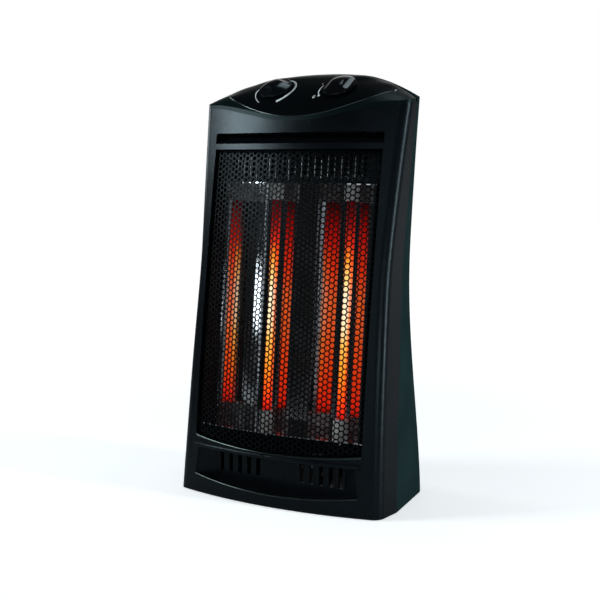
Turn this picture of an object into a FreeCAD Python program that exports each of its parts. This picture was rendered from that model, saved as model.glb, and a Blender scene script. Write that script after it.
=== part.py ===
import FreeCAD, Part
import math
import os

from FreeCAD import Vector, Placement, Rotation

os.makedirs("parts", exist_ok=True)

# Radiant tower heater, in millimetres. +Z is up, the front faces -Y, and +X is on the right of
# someone who faces the front. The origin is on the floor, in the middle of the footprint.

# Case outline
CASE_DEPTH = 198.0
BASE_HALF_WIDTH = 154.0
WAIST_HALF_WIDTH = 145.0
SHOULDER_HALF_WIDTH = 153.5
WAIST_HEIGHT = 315.0
SHOULDER_HEIGHT = 515.0
FLOOR_GAP = 3.0
RIM_GAP = 0.8
FRONT_BOW = 21.0
FRONT_SETBACK = 69.0
FRONT_CORNER_TRIM = 11.0
SEAM_FROM_FRONT = 42.0
SEAM_LEAN = 48.0
SIDE_SWELL = 3.0
REAR_TAPER = 20.0
REAR_CORNER_TRIM = 32.0
REAR_TUCK = 28.0
REAR_TUCK_HEIGHT = 290.0
REAR_BOW = 4.0
WALL = 3.0
SEAM_GAP = 0.25
FIT_GAP = 0.3
OVERRUN = 40.0

# Shapes of the case curves
WAIST_BEND_SHARE = 1.25
SETBACK_LINE_SHARE = 0.6
SECTION_SHARES = (-0.02, 0.12, 0.28, 0.44, 0.6, 0.74, 0.88, 1.0, 1.1)

# Crown of the case
CREST_HEIGHT = 564.0
ARCH_DROP = 36.0
CREST_SETBACK = 122.0
CREST_BOW = 34.0
FRONT_EDGE_HEIGHT = 508.0
FRONT_EDGE_RISE = 14.5
REAR_FALL = 9.0
CROWN_WALL = 4.2
CROWN_OVERHANG = 12.0
ARCH_POWER_SHARE = 2.6
SLOPE_LINE_SHARE = 0.7
SLOPE_POWER_SHARE = 4.0
PANEL_HALF_WIDTH = 131.0
PANEL_FRONT_SETBACK = 46.3

# Guard opening and guard
OPENING_HALF_WIDTH = 127.5
OPENING_TOP = 463.0
OPENING_BOTTOM_END = 77.0
OPENING_BOTTOM_MIDDLE = 69.0
GUARD_TUCK = 1.5
GUARD_SHEET = 0.9
GUARD_INSET = 0.4
GUARD_PITCH = 20.5
GUARD_BAR = 2.4
GUARD_MARGIN = 4.0

# Slot in the brow and lower air recess
BROW_SLOT_HALF_WIDTH = 128.0
BROW_SLOT_TOP = 484.5
BROW_SLOT_HEIGHT = 14.0
BROW_SLOT_DEPTH = 15.0
BROW_SLOT_APEX_SHARE = 0.38
BROW_SLOT_RUN_OUT_SHARE = 1.5
RECESS_HALF_WIDTH = 126.0
RECESS_TOP = 62.0
RECESS_END_HEIGHT = 25.0
RECESS_LIP_HEIGHT = 16.0
RECESS_BACK = 12.0
RECESS_END_RUN = 28.0
INTAKE_SLOTS = 5
INTAKE_SLOT_WIDTH = 6.0
INTAKE_SLOT_HEIGHT = 26.0
INTAKE_SLOT_BASE = 30.0
INTAKE_FIRST = 34.0
INTAKE_PITCH = 14.5
LIP_BEAD = 3.6
LIP_BEAD_HEIGHT = 65.5

# Heating chamber, in a frame that leans with the tubes
CHAMBER_LEAN_DEG = 5.4
CHAMBER_FLOOR_HEIGHT = 88.0
CHAMBER_SETBACK = 71.0
CHAMBER_LENGTH = 326.0
CHAMBER_HALF_WIDTH = 121.0
SHEET = 1.0
TUBE_SPACING = 117.0
TUBE_RADIUS = 6.0
TUBE_WALL = 1.0
TUBE_END_GAP = 3.0
CAP_RADIUS = 10.5
CAP_HEIGHT = 18.0
CAP_SPIGOT_RADIUS = 7.0
CAP_SPIGOT = 9.0
CAP_POCKET = 14.0
TERMINAL_RADIUS = 1.6
TERMINAL_LENGTH = 8.0
COIL_RADIUS = 3.6
COIL_WIRE = 0.6
COIL_TURNS = 42
TROUGH_DEPTH = 19.0
TROUGH_OUTER = 89.0
TROUGH_INNER = 32.0
RIDGE_HALF_WIDTH = 14.2
RIDGE_STAND = 11.0
OUTER_WALL_HOLLOW = 6.2
INNER_WALL_HOLLOW = 2.4
REFLECTOR_FRONT = 34.0
REFLECTOR_FRONT_HALF_WIDTH = 119.0
REFLECTOR_SHEET = 1.2
SHIELD_SETBACK = 28.0
SHIELD_HALF_WIDTH = 106.0
SHIELD_TOP = 18.0
TAB_WIDTH = 18.0
TAB_HEIGHT = 20.0
TAB_LOW = 36.0
TAB_HIGH = 286.0
POST_X = 136.0
POST_RADIUS = 4.0
SCREW_RADIUS = 1.5
SCREW_HEAD_RADIUS = 3.0
SCREW_HEAD = 2.0
SCREW_LENGTH = 12.0

# Outlet louvre above the chamber
LOUVRE_SETBACK = 42.0
LOUVRE_SHEET = 2.0
LOUVRE_HEIGHT = 44.0
LOUVRE_PITCH = 10.0
LOUVRE_SLOT_WIDTH = 5.0
LOUVRE_RAIL = 5.0
LOUVRE_SLOTS = 21

# Thermal cutout
CUTOUT_RADIUS = 8.0
CUTOUT_X = 57.0
CUTOUT_HEIGHT = 215.0
CUTOUT_FLANGE = 1.5
CUTOUT_FLANGE_REACH = 14.4

# Controls
KNOB_X = 49.0
KNOB_SETBACK = 83.0
KNOB_RADIUS = 22.5
KNOB_HEIGHT = 10.0
KNOB_LIFT = 1.5
KNOB_EDGE = 3.0
KNOB_CAVITY_RADIUS = 14.0
KNOB_CAVITY = 3.6
KNOB_GRIP_WIDTH = 9.0
KNOB_SCOOP_RADIUS = 17.0
KNOB_SCOOP_FLOOR = 3.4
DIAL_PAD_RADIUS = 15.0
DIAL_PAD_LIFT = 1.2
DIAL_PAD_DEPTH = 7.0
BUSH_RADIUS = 4.5
BUSH_LENGTH = 3.2
BUSH_GAP = 0.4
NUT_RADIUS = 7.0
NUT_HEIGHT = 2.4
SPINDLE_RADIUS = 3.0
SPINDLE_RUN_GAP = 0.06
SPINDLE_TOP = 7.8
SPINDLE_DEPTH = 12.0
THERMOSTAT_SIZE = 34.0
THERMOSTAT_HEIGHT = 22.0
SWITCH_RADIUS = 15.0
SWITCH_HEIGHT = 20.0
THERMOSTAT_REST_DEG = 60.0
SELECTOR_REST_DEG = 0.0

# Base, feet and tip-over switch
BASE_SHEET = 3.0
FOOT_RADIUS = 9.0
FOOT_X = 112.0
FOOT_FRONT = 14.0
FOOT_REAR = 138.0
BASE_BOSS_RADIUS = 5.0
BASE_BOSS_HEIGHT = 20.0
BASE_BOSS_X = 92.0
BASE_BOSS_REAR = 156.0
TIP_SETBACK = 92.0
TIP_RADIUS = 4.0
TIP_GAP = 0.08
TIP_COLLAR_RADIUS = 6.5
TIP_COLLAR_HEIGHT = 2.0
TIP_COLLAR_BASE = 12.0
TIP_ROOF = 25.0
TIP_ROOF_SHEET = 3.0
TIP_TOP = 37.0
TIP_NUB_RADIUS = 1.2
TIP_NUB = 3.0
TIP_BODY_HALF_WIDTH = 11.0
TIP_BODY_HALF_DEPTH = 10.0
TIP_POCKET_RADIUS = 7.5
TIP_SPRING_RADIUS = 5.3
TIP_SPRING_WIRE = 0.4
TIP_SPRING_TURNS = 6
LEVER_ARM = 20.0
LEVER_WIDTH = 6.0
LEVER_SHEET = 2.0
LEVER_EYE_RADIUS = 3.4
LEVER_PIN_RADIUS = 1.5
LEVER_PIN_GAP = 0.05
LEVER_EAR = 2.5
LEVER_REACH = 6.0
MICROSWITCH_WIDTH = 10.0
MICROSWITCH_HEIGHT = 14.0

# Case screws, gland and terminal block
CASE_SCREW_X = 116.0
CASE_SCREW_LOW = 56.0
CASE_SCREW_HIGH = 478.0
CASE_BOSS_RADIUS = 6.0
BOSS_SEAM_GAP = 1.0
CASE_SCREW_SEAT = 14.0
REAR_SLOTS = 9
REAR_SLOT_HALF_WIDTH = 70.0
REAR_SLOT_HEIGHT = 5.0
REAR_SLOT_PITCH = 13.0
REAR_SLOT_TOP = 398.0
REAR_SLOT_LOW = 150.0
GLAND_X = 70.0
GLAND_HEIGHT = 36.0
GLAND_RADIUS = 7.0
GLAND_FLANGE_RADIUS = 10.0
GLAND_FLANGE = 2.5
GLAND_BORE = 3.6
BLOCK_WIDTH = 40.0
BLOCK_DEPTH = 16.0
BLOCK_HEIGHT = 18.0
BLOCK_SETBACK = 132.0

FRONT_LINE = FRONT_BOW - CASE_DEPTH / 2
FRONT = Vector(0, -1, 0)
UP = Vector(0, 0, 1)


def depth(setback):
    """Y of a place that lies this far behind the line of the front corners at the floor."""
    return FRONT_LINE + setback


def export(name, shape):
    shape.exportStep("parts/" + name + ".step")
    solids = len(shape.Solids)
    print(name, "solids", solids, "valid", shape.isValid(), "volume", round(shape.Volume, 1))


def box(low, high):
    size = high - low
    return Part.makeBox(size.x, size.y, size.z, low)


def rod(radius, start, end):
    span = end - start
    return Part.makeCylinder(radius, span.Length, start, span)


def fuse_all(shapes):
    result = shapes[0].multiFuse(shapes[1:]) if len(shapes) > 1 else shapes[0]
    return result.removeSplitter()


def mirrored(shape):
    return shape.mirror(Vector(0, 0, 0), Vector(1, 0, 0))


def flip(point):
    return Vector(-point.x, point.y, point.z)


def polygon_prism(points, direction):
    return Part.Face(Part.makePolygon(points + [points[0]])).extrude(direction)


# Case curves

def half_width(z):
    if z < WAIST_HEIGHT:
        run = (WAIST_HEIGHT - z) / WAIST_HEIGHT
        flare = BASE_HALF_WIDTH - WAIST_HALF_WIDTH
    else:
        run = (z - WAIST_HEIGHT) / (SHOULDER_HEIGHT - WAIST_HEIGHT)
        flare = SHOULDER_HALF_WIDTH - WAIST_HALF_WIDTH
    return WAIST_HALF_WIDTH + flare * run ** WAIST_BEND_SHARE


def front_y(z):
    """Y of the front corners: the front leans back and a little more towards the top."""
    run = z / SHOULDER_HEIGHT
    return depth(FRONT_SETBACK * (SETBACK_LINE_SHARE * run + (1 - SETBACK_LINE_SHARE) * run * abs(run)))


def face_y(x, z):
    """Y of the bowed front face."""
    return front_y(z) - FRONT_BOW * (1 - (x / half_width(z)) ** 2)


def inner_face_y(x, z):
    """Y of the inside of the front wall."""
    return front_y(z) + WALL - FRONT_BOW * (1 - (x / (half_width(z) - WALL)) ** 2)


def seam_y(z):
    return depth(SEAM_FROM_FRONT + SEAM_LEAN * z / SHOULDER_HEIGHT)


def rear_y(z):
    run = min(max(z, 0) / REAR_TUCK_HEIGHT, 1)
    return CASE_DEPTH / 2 - REAR_BOW - REAR_TUCK * (1 - math.cos(math.pi * run)) / 2


def corner_arc(start, corner, end):
    """Arc that leaves start and reaches end along the two lines through corner."""
    reach = (start - corner).Length
    bisector = ((start - corner).normalize() + (end - corner).normalize()).normalize()
    half_angle = bisector.getAngle(start - corner)
    centre_reach = reach / math.cos(half_angle)
    middle = corner + bisector * (centre_reach - reach * math.tan(half_angle))
    return Part.Arc(start, middle, end).toShape()


def line(start, end):
    return Part.LineSegment(start, end).toShape()


def front_section(z, inset, overlap):
    """Plan of the front shell at one height: bowed face, rounded corners, sides to the seam."""
    edge_y = front_y(z) + inset
    side = Vector(half_width(z) - inset, edge_y, z)
    seam = Vector(half_width(z) + SIDE_SWELL - inset, seam_y(z), z)
    nose = Vector(0, edge_y - FRONT_BOW, z)
    bow_radius = (side.x ** 2 + FRONT_BOW ** 2) / (2 * FRONT_BOW)
    bow_centre = Vector(0, nose.y + bow_radius, z)
    trim_x = side.x - FRONT_CORNER_TRIM + inset
    start = Vector(trim_x, bow_centre.y - math.sqrt(bow_radius ** 2 - trim_x ** 2), z)
    along_bow = Vector(bow_centre.y - start.y, start.x, 0).normalize()
    along_side = (seam - side).normalize()
    gap = side - start
    cross = along_bow.x * along_side.y - along_bow.y * along_side.x
    reach = (gap.x * along_side.y - gap.y * along_side.x) / cross
    corner = start + along_bow * reach
    end = corner + along_side * reach
    back = seam + along_side * overlap
    edges = [
        line(flip(back), flip(end)),
        corner_arc(flip(end), flip(corner), flip(start)),
        Part.Arc(flip(start), nose, start).toShape(),
        corner_arc(start, corner, end),
        line(end, back),
        line(back, flip(back)),
    ]
    return Part.Wire(edges)


def rear_section(z, inset, overlap):
    """Plan of the rear shell at one height: sides from the seam, large corners, bowed back."""
    seam = Vector(half_width(z) + SIDE_SWELL - inset, seam_y(z), z)
    corner = Vector(half_width(z) + SIDE_SWELL - REAR_TAPER - inset, rear_y(z) - inset, z)
    along_side = (corner - seam).normalize()
    trim = REAR_CORNER_TRIM - inset
    start = corner - along_side * trim
    end = corner - Vector(trim, 0, 0)
    front = seam - along_side * overlap
    tail = Vector(0, corner.y + REAR_BOW, z)
    edges = [
        line(front, start),
        corner_arc(start, corner, end),
        Part.Arc(end, tail, flip(end)).toShape(),
        corner_arc(flip(end), flip(corner), flip(start)),
        line(flip(start), flip(front)),
        line(flip(front), front),
    ]
    return Part.Wire(edges)


def case_block(section, inset, overlap):
    wires = [section(share * SHOULDER_HEIGHT, inset, overlap) for share in SECTION_SHARES]
    return Part.makeLoft(wires, True, False)


def crest_y(x):
    """Y of the crest line: an arc in plan, furthest back in the middle."""
    radius = (SHOULDER_HALF_WIDTH ** 2 + CREST_BOW ** 2) / (2 * CREST_BOW)
    return depth(CREST_SETBACK) - radius + math.sqrt(radius ** 2 - x ** 2)


def crown_z(x, y):
    """Height of the crown: an arch at the crest that falls forward to the dipped front edge."""
    u = abs(x) / SHOULDER_HALF_WIDTH
    arch = CREST_HEIGHT - ARCH_DROP * u ** ARCH_POWER_SHARE
    edge = FRONT_EDGE_HEIGHT + FRONT_EDGE_RISE * (1 - math.cos(math.pi * min(u, 1))) / 2
    brow = front_y(SHOULDER_HEIGHT) - FRONT_BOW * (1 - u * u)
    run = (crest_y(x) - y) / (crest_y(x) - brow)
    if run > 0:
        bend = run ** SLOPE_POWER_SHARE if run < 1 else 1 + SLOPE_POWER_SHARE * (run - 1)
        fall = SLOPE_LINE_SHARE * run + (1 - SLOPE_LINE_SHARE) * bend
        return arch - (arch - edge) * fall
    behind = (y - crest_y(x)) / (rear_y(SHOULDER_HEIGHT) - crest_y(x))
    return arch - REAR_FALL * behind * behind


def crown_face(drop):
    """Crown surface through curves across the case, lowered by drop."""
    half_span = SHOULDER_HALF_WIDTH + CROWN_OVERHANG
    low_y = depth(FRONT_SETBACK) - FRONT_BOW * 2
    high_y = rear_y(SHOULDER_HEIGHT) + REAR_CORNER_TRIM
    columns = 24
    rows = 12
    curves = []
    for j in range(rows + 1):
        y = low_y + (high_y - low_y) * j / rows
        xs = [half_span * (2 * i / columns - 1) for i in range(columns + 1)]
        curve = Part.BSplineCurve()
        curve.interpolate([Vector(x, y, crown_z(x, y) - drop) for x in xs])
        curves.append(Part.Wire([curve.toShape()]))
    return Part.makeLoft(curves, False, False).Faces[0]


def above_crown(drop):
    return crown_face(drop).extrude(UP * (CREST_HEIGHT / 2))


def crest_region(offset):
    """Everything in front of the crest line, moved back by an offset."""
    reach = SHOULDER_HALF_WIDTH
    shift = Vector(0, offset, 0)
    left = Vector(-reach, crest_y(reach), 0) + shift
    right = Vector(reach, crest_y(reach), 0) + shift
    middle = Vector(0, crest_y(0), 0) + shift
    wide_right = right + Vector(OVERRUN, -OVERRUN * CREST_BOW / reach, 0)
    wide_left = flip(wide_right)
    front_right = Vector(wide_right.x, -CASE_DEPTH, 0)
    edges = [
        Part.Arc(left, middle, right).toShape(),
        line(right, wide_right),
        line(wide_right, front_right),
        line(front_right, flip(front_right)),
        line(flip(front_right), wide_left),
        line(wide_left, left),
    ]
    return Part.Face(Part.Wire(edges)).extrude(UP * (CREST_HEIGHT * 2))


def panel_region(offset):
    """Plan of the control panel: everything behind its smile-shaped front edge, half an ellipse."""
    tip_y = crest_y(PANEL_HALF_WIDTH)
    right = Vector(PANEL_HALF_WIDTH + offset, tip_y, 0)
    left = flip(right)
    reach = tip_y - depth(PANEL_FRONT_SETBACK) + offset
    back = Vector(0, CASE_DEPTH, 0)
    edges = [
        Part.ArcOfEllipse(Part.Ellipse(Vector(0, tip_y, 0), right.x, reach), math.pi, math.pi * 2).toShape(),
        line(right, right + back),
        line(right + back, left + back),
        line(left + back, left),
    ]
    return Part.Face(Part.Wire(edges)).extrude(UP * (CREST_HEIGHT * 2))


floor_cut = box(Vector(-CASE_DEPTH, -CASE_DEPTH, -OVERRUN), Vector(CASE_DEPTH, CASE_DEPTH, RIM_GAP))
crown_top = above_crown(0)
crown_under = above_crown(CROWN_WALL)
front_outer = case_block(front_section, 0, 0)
rear_outer = case_block(rear_section, 0, 0)
front_inner = case_block(front_section, WALL, WALL * 2)
rear_inner = case_block(rear_section, WALL, WALL * 2)
case_outer = front_outer.fuse(rear_outer)
front_of_crest = crest_region(0)


# Frame of the heating chamber

CHAMBER_PLACE = Placement(
    Vector(0, depth(CHAMBER_SETBACK), CHAMBER_FLOOR_HEIGHT),
    Rotation(Vector(1, 0, 0), -CHAMBER_LEAN_DEG),
)


def in_chamber(shape):
    moved = shape.copy()
    moved.Placement = CHAMBER_PLACE.multiply(moved.Placement)
    return moved


def chamber_point(x, v, w):
    return CHAMBER_PLACE.multVec(Vector(x, v, w))


# Guard: a bowed perforated sheet whose sides tuck in behind the front wall

GUARD_HALF_WIDTH = OPENING_HALF_WIDTH + GUARD_TUCK


def guard_section(z, lift, tail):
    """Plan of the guard at one height, moved back by lift, closed at tail behind its middle."""
    nose = Vector(0, face_y(0, z) + GUARD_INSET + lift, z)
    end = Vector(GUARD_HALF_WIDTH, inner_face_y(GUARD_HALF_WIDTH, z) + FIT_GAP + lift, z)
    shift = Vector(0, tail, 0)
    edges = [
        Part.Arc(flip(end), nose, end).toShape(),
        line(end, end + shift),
        Part.Arc(end + shift, nose + shift, flip(end) + shift).toShape(),
        line(flip(end) + shift, flip(end)),
    ]
    return Part.Wire(edges)


def guard_block(lift, tail):
    wires = [guard_section(share * SHOULDER_HEIGHT, lift, tail) for share in SECTION_SHARES[:-1]]
    return Part.makeLoft(wires, True, False)


def opening_prism(half_width_x, inset):
    """Outline of the guard opening, with its bowed lower edge, carried through the case."""
    start_y = -CASE_DEPTH
    left_low = Vector(-half_width_x, start_y, OPENING_BOTTOM_END + inset)
    left_high = Vector(-half_width_x, start_y, OPENING_TOP - inset)
    low_middle = Vector(0, start_y, OPENING_BOTTOM_MIDDLE + inset)
    edges = [
        line(flip(left_low), flip(left_high)),
        line(flip(left_high), left_high),
        line(left_high, left_low),
        Part.Arc(left_low, low_middle, flip(left_low)).toShape(),
    ]
    return Part.Face(Part.Wire(edges)).extrude(Vector(0, CASE_DEPTH * 2, 0))


def hexagon(x, z, radius):
    points = []
    for k in range(6):
        angle = math.pi * k / 3
        points.append(Vector(x + radius * math.cos(angle), -CASE_DEPTH, z + radius * math.sin(angle)))
    return Part.Face(Part.makePolygon(points + [points[0]]))


def guard_mesh():
    sheet = guard_block(0, GUARD_SHEET).common(opening_prism(GUARD_HALF_WIDTH, FIT_GAP))
    column_step = GUARD_PITCH * math.sqrt(3) / 2
    hole = (GUARD_PITCH - GUARD_BAR) / math.sqrt(3)
    columns = int((OPENING_HALF_WIDTH - GUARD_MARGIN) / column_step)
    rows = int((OPENING_TOP - OPENING_BOTTOM_MIDDLE) / GUARD_PITCH)
    holes = []
    for i in range(-columns, columns + 1):
        stagger = GUARD_PITCH / 2 if i % 2 else 0
        for j in range(rows + 1):
            z = OPENING_BOTTOM_MIDDLE + GUARD_PITCH / 2 + j * GUARD_PITCH + stagger
            holes.append(hexagon(i * column_step, z, hole).extrude(Vector(0, CASE_DEPTH * 2, 0)))
    print("guard gaps", len(holes))
    inside = opening_prism(OPENING_HALF_WIDTH - GUARD_MARGIN, GUARD_MARGIN)
    return sheet.cut(Part.makeCompound(holes).common(inside))


# Front bezel

def recess_prism(grow, back):
    """Lower air recess: flat top, smile-shaped floor, ends that slant in to a flat back wall."""
    start_y = -CASE_DEPTH
    top = RECESS_TOP + grow
    left_low = Vector(-RECESS_HALF_WIDTH - grow, start_y, RECESS_END_HEIGHT)
    left_high = Vector(-RECESS_HALF_WIDTH + RECESS_BACK / 2 - grow, start_y, top)
    lip_middle = Vector(0, start_y, RECESS_LIP_HEIGHT - grow)
    edges = [
        line(flip(left_low), flip(left_high)),
        line(flip(left_high), left_high),
        line(left_high, left_low),
        Part.Arc(left_low, lip_middle, flip(left_low)).toShape(),
    ]
    prism = Part.Face(Part.Wire(edges)).extrude(Vector(0, back - start_y, 0))
    reach = RECESS_HALF_WIDTH + grow
    mouth_y = face_y(RECESS_HALF_WIDTH, RECESS_END_HEIGHT)
    plan = [Vector(reach, start_y, 0), Vector(reach, mouth_y, 0), Vector(reach - RECESS_END_RUN, back, 0)]
    return prism.common(polygon_prism(plan + [flip(point) for point in reversed(plan)], UP * CASE_DEPTH))


def bow_arc(reach, z):
    """Arc along the bowed front face at one height."""
    end = Vector(reach, face_y(reach, z), z)
    return Part.Arc(flip(end), Vector(0, face_y(0, z), z), end).toShape()


def brow_slot(grow):
    """Groove across the brow: ceiling and floor meet in a line at its back, so its ends are triangles."""
    path = bow_arc(BROW_SLOT_HALF_WIDTH, BROW_SLOT_TOP)
    start = path.valueAt(path.FirstParameter)
    tangent = path.tangentAt(path.FirstParameter)
    outward = Vector(tangent.y, -tangent.x, 0).normalize()
    lean = front_y(BROW_SLOT_TOP) - front_y(BROW_SLOT_TOP - BROW_SLOT_HEIGHT)
    apex = start - outward * (BROW_SLOT_DEPTH + grow * 2) - UP * (BROW_SLOT_HEIGHT * BROW_SLOT_APEX_SHARE)
    high = start + UP * grow
    low = start + outward * lean - UP * (BROW_SLOT_HEIGHT + grow)
    points = [apex, apex + (high - apex) * BROW_SLOT_RUN_OUT_SHARE, apex + (low - apex) * BROW_SLOT_RUN_OUT_SHARE]
    ring = Part.makePolygon(points + [points[0]])
    return Part.Wire([path]).makePipeShell([ring], True, True)


def front_bezel():
    hollow = front_inner.cut(crown_under)
    shell = front_outer.cut(hollow)
    wall_y = depth(RECESS_BACK)
    recess_wall = recess_prism(WALL, wall_y + WALL).common(front_outer)
    slot = brow_slot(0)
    slot_wall = brow_slot(WALL).common(front_outer)
    bead_path = bow_arc(RECESS_HALF_WIDTH, LIP_BEAD_HEIGHT)
    bead_start = bead_path.valueAt(bead_path.FirstParameter)
    bead_tangent = bead_path.tangentAt(bead_path.FirstParameter)
    bead_ring = Part.Wire([Part.makeCircle(LIP_BEAD, bead_start, bead_tangent)])
    bead = Part.Wire([bead_path]).makePipeShell([bead_ring], True, True)
    posts = []
    for w in (TAB_LOW, TAB_HIGH):
        middle = w + TAB_HEIGHT / 2
        for side in (-1, 1):
            start = chamber_point(side * POST_X, -REFLECTOR_FRONT - SHEET, middle)
            end = chamber_point(side * POST_X, -REFLECTOR_FRONT - OVERRUN, middle)
            posts.append(rod(POST_RADIUS, start, end).common(front_outer))
    bosses = []
    for side in (-1, 1):
        for z in (CASE_SCREW_LOW, CASE_SCREW_HIGH):
            start = Vector(side * CASE_SCREW_X, seam_y(z) - SEAM_GAP - BOSS_SEAM_GAP, z)
            end = Vector(side * CASE_SCREW_X, face_y(CASE_SCREW_X, z) - OVERRUN, z)
            bosses.append(rod(CASE_BOSS_RADIUS, start, end).common(front_outer))
        start = Vector(side * BASE_BOSS_X, wall_y + WALL, FLOOR_GAP + BASE_SHEET)
        bosses.append(rod(BASE_BOSS_RADIUS, start, start + UP * BASE_BOSS_HEIGHT))
    whole = shell.multiFuse([recess_wall, slot_wall, bead] + posts + bosses)
    whole = whole.cut(recess_prism(0, wall_y)).cut(slot)
    whole = whole.cut(opening_prism(OPENING_HALF_WIDTH, 0).cut(front_inner))
    whole = whole.cut(Part.makeCompound(intake_slots())).cut(crown_under).cut(floor_cut)
    holes = []
    for start, end in case_screw_lines() + post_screw_lines() + front_base_screw_lines():
        holes.append(rod(SCREW_RADIUS, start, end))
    return whole.cut(Part.makeCompound(holes))


def intake_slots():
    slots = []
    start_y = depth(RECESS_BACK) - WALL
    for side in (-1, 1):
        for k in range(INTAKE_SLOTS):
            x = side * (INTAKE_FIRST + k * INTAKE_PITCH)
            low = Vector(x - INTAKE_SLOT_WIDTH / 2, start_y, INTAKE_SLOT_BASE)
            high = Vector(x + INTAKE_SLOT_WIDTH / 2, start_y + WALL * 3, INTAKE_SLOT_BASE + INTAKE_SLOT_HEIGHT)
            slots.append(box(low, high))
    return slots


# Screws

def case_screw_lines():
    """Each screw runs forward from its seat in the rear cover across the seam."""
    lines = []
    for side in (-1, 1):
        for z in (CASE_SCREW_LOW, CASE_SCREW_HIGH):
            seat = Vector(side * CASE_SCREW_X, seam_y(z) + CASE_SCREW_SEAT, z)
            lines.append((seat, seat + FRONT * (CASE_SCREW_SEAT + SCREW_LENGTH)))
    return lines


def post_screw_lines():
    lines = []
    for w in (TAB_LOW, TAB_HIGH):
        for side in (-1, 1):
            seat = chamber_point(side * POST_X, -REFLECTOR_FRONT, w + TAB_HEIGHT / 2)
            tip = chamber_point(side * POST_X, -REFLECTOR_FRONT - SCREW_LENGTH, w + TAB_HEIGHT / 2)
            lines.append((seat, tip))
    return lines


def front_base_screw_lines():
    seats = [Vector(s * BASE_BOSS_X, depth(RECESS_BACK) + WALL, FLOOR_GAP) for s in (-1, 1)]
    return [(seat, seat + UP * SCREW_LENGTH) for seat in seats]


def rear_base_screw_lines():
    seats = [Vector(s * BASE_BOSS_X, depth(BASE_BOSS_REAR), FLOOR_GAP) for s in (-1, 1)]
    return [(seat, seat + UP * SCREW_LENGTH) for seat in seats]


def screws(lines):
    """Pan-head screws: each shank starts at its seat, with the head behind the seat."""
    solids = []
    for seat, tip in lines:
        back = (seat - tip).normalize()
        shank = rod(SCREW_RADIUS, seat, tip)
        head = rod(SCREW_HEAD_RADIUS, seat, seat + back * SCREW_HEAD)
        solids.append(shank.fuse(head).removeSplitter())
    return Part.makeCompound(solids)


# Rear cover

def rear_slots():
    slots = []
    for top in (REAR_SLOT_TOP, REAR_SLOT_LOW):
        for k in range(REAR_SLOTS):
            z = top - k * REAR_SLOT_PITCH
            low = Vector(-REAR_SLOT_HALF_WIDTH, rear_y(z) - WALL * 2, z)
            high = Vector(REAR_SLOT_HALF_WIDTH, CASE_DEPTH, z + REAR_SLOT_HEIGHT)
            slots.append(box(low, high))
    return slots


def rear_cover():
    hollow = rear_inner.cut(crown_under)
    body = rear_outer.cut(crown_top)
    shell = body.cut(hollow)
    extras = []
    for seat, tip in case_screw_lines():
        start = Vector(seat.x, seam_y(seat.z) + SEAM_GAP + BOSS_SEAM_GAP, seat.z)
        end = Vector(seat.x, CASE_DEPTH, seat.z)
        extras.append(rod(CASE_BOSS_RADIUS, start, end).common(body))
    for seat, tip in rear_base_screw_lines():
        low = seat + Vector(-BASE_BOSS_RADIUS, -BASE_BOSS_RADIUS, BASE_SHEET)
        high = seat + Vector(BASE_BOSS_RADIUS, CASE_DEPTH, BASE_SHEET + BASE_BOSS_HEIGHT)
        extras.append(box(low, high).common(body))
    whole = shell.multiFuse(extras)
    seam_trim = case_block(front_section, -WALL * 3, SEAM_GAP)
    cuts = rear_slots()
    for seat, tip in case_screw_lines():
        cuts.append(rod(SCREW_RADIUS + FIT_GAP, seat, tip))
        cuts.append(rod(SCREW_HEAD_RADIUS + FIT_GAP, seat, Vector(seat.x, CASE_DEPTH, seat.z)))
    for seat, tip in rear_base_screw_lines():
        cuts.append(rod(SCREW_RADIUS, seat, tip))
    gland = Vector(GLAND_X, rear_y(GLAND_HEIGHT) - OVERRUN, GLAND_HEIGHT)
    cuts.append(rod(GLAND_RADIUS + FIT_GAP, gland, gland - FRONT * (OVERRUN * 2)))
    whole = whole.cut(Part.makeCompound(cuts))
    crown_cut = crown_face(CROWN_WALL + SEAM_GAP).extrude(UP * (CREST_HEIGHT / 2))
    crown_cut = crown_cut.common(crest_region(SEAM_GAP))
    return whole.cut(seam_trim).cut(crown_cut).cut(floor_cut)


# Crown: trim and control panel

def crown_plate():
    slab = crown_face(0).extrude(UP * -CROWN_WALL)
    return slab.common(front_of_crest).common(case_outer)


crown = crown_plate()


def top_trim():
    return crown.cut(panel_region(SEAM_GAP))


def knob_seat(side):
    """Place on the panel under one knob, with +Z along the local panel normal."""
    x = side * KNOB_X
    y = depth(KNOB_SETBACK)
    step = CROWN_WALL
    slope_x = (crown_z(x + step, y) - crown_z(x - step, y)) / (2 * step)
    slope_y = (crown_z(x, y + step) - crown_z(x, y - step)) / (2 * step)
    normal = Vector(-slope_x, -slope_y, 1).normalize()
    across = Vector(1, 0, slope_x).normalize()
    turn = Rotation(across, normal.cross(across), normal, "ZXY")
    return Placement(Vector(x, y, crown_z(x, y)), turn)


def at_seat(shape, side):
    moved = shape.copy()
    moved.Placement = knob_seat(side).multiply(moved.Placement)
    return moved


def upright(radius, low, high):
    return Part.makeCylinder(radius, high - low, Vector(0, 0, low), UP)


def control_panel():
    plate = crown.common(panel_region(0))
    pads = [at_seat(upright(DIAL_PAD_RADIUS, -DIAL_PAD_DEPTH, DIAL_PAD_LIFT), side) for side in (-1, 1)]
    holes = [at_seat(upright(BUSH_RADIUS + BUSH_GAP, -OVERRUN, OVERRUN), side) for side in (-1, 1)]
    return plate.multiFuse(pads).cut(Part.makeCompound(holes))


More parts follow.
